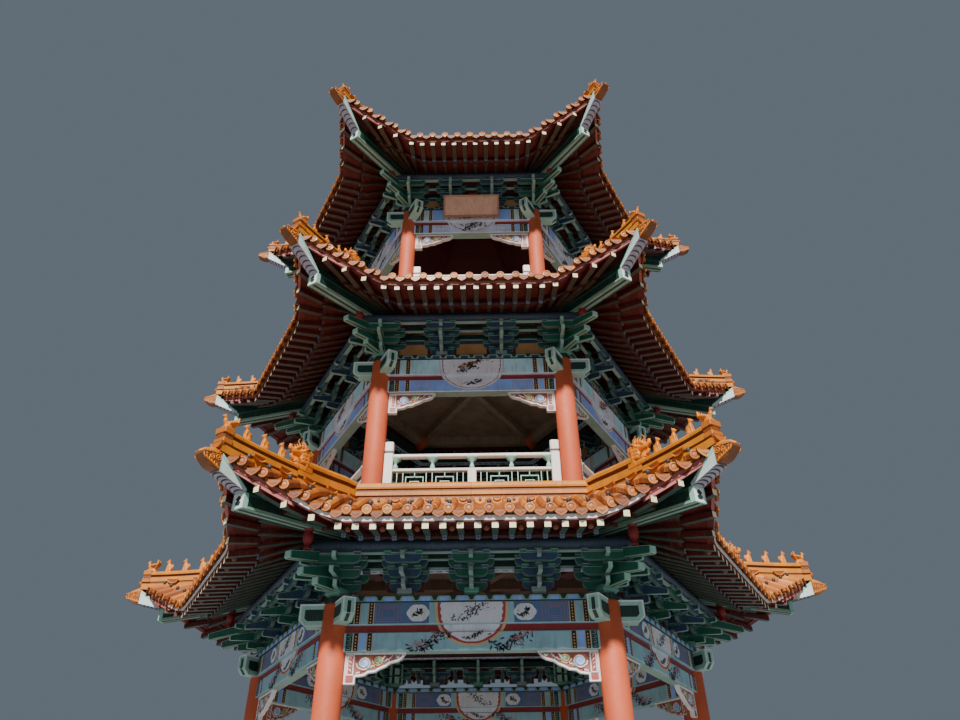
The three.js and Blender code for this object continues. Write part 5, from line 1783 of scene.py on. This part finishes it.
def name_board():
    """The bare name board with a raised rim, leaning forward on its pegs."""
    face, lean = THIRD.a + 0.15, math.radians(24)
    rim = dict(edge="plaque_edge", border=0.045, line="plaque_edge", relief=0.012)
    form = board(rectangle(-0.68, 0.68, 0, 0.56), 0.06, "plaque", **rim)
    c, s = math.cos(lean), math.sin(lean)
    turn = np.array([[1, 0, 0], [0, c, s], [0, -s, c]])
    panel = copies(form, turn, [0, face + 0.11 + 0.03 * c, 14.44 - 0.03 * s])
    peg = box((-0.025, face, 14.52), (0.025, face + 0.16, 14.57), "plaque_edge", 0.004)
    return copies(joined([panel, placed(peg, [[-0.40, 0, 0], [0.40, 0, 0]])]), AT_SIDES[:1])


# Assembly
def corners_of(storey, cap):
    """The corner beams of a storey with the caps on their tips."""
    tip = storey.corner(storey.eave, storey.eave_z)
    head = placed(cap, [0, storey.tip - 0.355, tip[1] - 0.09])
    return on_corners(joined([corner_beam(storey), head]))


def numbered(name):
    """The names of six like nodes."""
    return [f"{name}_{k}" for k in range(1, 7)]


def dress(storey, beast, great, bird, cap):
    """All pieces of one storey, in the order that the random draws need."""
    name = storey.name
    roof, beams, brackets = f"{name}_roof", f"{name}_ring_beam", f"{name}_brackets_and_corner_beams"
    timber = [rafters(storey)] + ([lamps(storey)] if storey is GROUND else [])
    piece(f"{name}_tiles", on_sides(tile_field(storey)), [roof])
    piece(f"{name}_eave_boards", joined([roof_bed(storey), eave_boards(storey)]), [roof])
    piece(f"{name}_rafters", on_sides(joined(timber)), [roof])
    piece(f"{name}_hip_ridges", ridges(storey, beast, great, bird), [f"{name}_roof_ridges"])
    piece(f"{name}_columns", columns(storey), numbered(f"{name}_column"))
    piece(f"{name}_painted_beams", joined([ring_beam(storey), beam_heads(storey)]), [beams])
    painting = both_faces(storey, joined([beam_painting(storey), plate_clouds(storey)]))
    piece(f"{name}_beam_painting", painting)
    piece(f"{name}_carved_braces", braces(storey), [beams])
    piece(f"{name}_bracket_sets", bracket_ring(storey), [brackets])
    piece(f"{name}_corner_beams", corners_of(storey, cap), [brackets])


figures = small_beast(), great_beast(), end_bird(), beast_cap()
for storey in STOREYS:
    dress(storey, *figures)
for lower, upper in ((GROUND, SECOND), (SECOND, THIRD)):
    name, panels = upper.name, on_sides(balustrade(upper, lower.floor))
    piece(f"{name}_balustrades", panels, numbered(f"{name}_balustrade"))
for lower, upper in ((GROUND, SECOND), (SECOND, THIRD)):
    paint = transfer_strips(f"{lower.name}_transfer_beams", upper, lower)
    piece(f"{lower.name}_transfer_beam_paint", paint)
piece("stone_base", platform(), ["stone_platform"])
piece("glazed_finial", finial(), ["roof_finial"])
piece("bare_name_board", name_board(), ["name_board"])

# Both slab undersides are bare; the second floor's takes a darker copy of the ceiling finish as painted shade
# inside the ground storey.
KEPT_FINISHES = {"second_floor": "ceiling_dark", "third_floor": "ceiling",
                 "ground_transfer_beams": "red_infill", "second_transfer_beams": "green_deep"}
for node, finish in KEPT_FINISHES.items():
    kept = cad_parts[node]
    kept.data.materials.clear()
    kept.data.materials.append(material_of(finish))


# Camera, light and floor
def camera():
    """The camera stands 15 m in front of the axis at eye height, turned a little round the building,
    tilted up 35 degrees, with small pan and roll."""
    distance, eye, focal, sensor, pixels = 15.0, 1.6, 703.0, 36.0, 960
    tilt, roll, pan, yaw = (math.radians(x) for x in (35.31, -0.665, 0.584, -0.915))
    data = bpy.data.cameras.new("camera")
    data.sensor_width = sensor
    data.lens = focal * sensor / pixels
    made = bpy.data.objects.new("camera", data)
    bpy.context.scene.collection.objects.link(made)
    place = Matrix.Rotation(-yaw, 4, "Z") @ Matrix.Translation((0, -distance, eye))
    level = Matrix.Rotation(-pan, 4, "Z") @ Matrix.Rotation(math.pi / 2 + tilt, 4, "X")
    made.matrix_world = place @ level @ Matrix.Rotation(roll, 4, "Z")
    bpy.context.scene.camera = made


def light():
    """A soft sun from the front, above, and a pale even sky."""
    data = bpy.data.lights.new("sun", "SUN")
    data.energy, data.angle = 7.0, math.radians(3.5)
    data.color = (1.0, 0.96, 0.90)
    sun = bpy.data.objects.new("sun", data)
    bpy.context.scene.collection.objects.link(sun)
    sun.rotation_euler = (math.radians(50), 0, math.radians(-5))
    world = bpy.data.worlds.new("sky")
    world.use_nodes = True
    shade = world.node_tree.nodes["Background"]
    shade.inputs["Color"].default_value = (0.66, 0.82, 1.0, 1)
    shade.inputs["Strength"].default_value = 0.185
    bpy.context.scene.world = world


def ground_floor():
    """A plain pale floor."""
    mesh = bpy.data.meshes.new("floor")
    mesh.from_pydata([(-60, -60, 0), (60, -60, 0), (60, 60, 0), (-60, 60, 0)], [], [(0, 1, 2, 3)])
    made = bpy.data.objects.new("floor", mesh)
    bpy.context.scene.collection.objects.link(made)
    mesh.materials.append(finish_material("floor_grey", "9c9fa4", rough=0.9, wear=0.05))


camera()
light()
ground_floor()
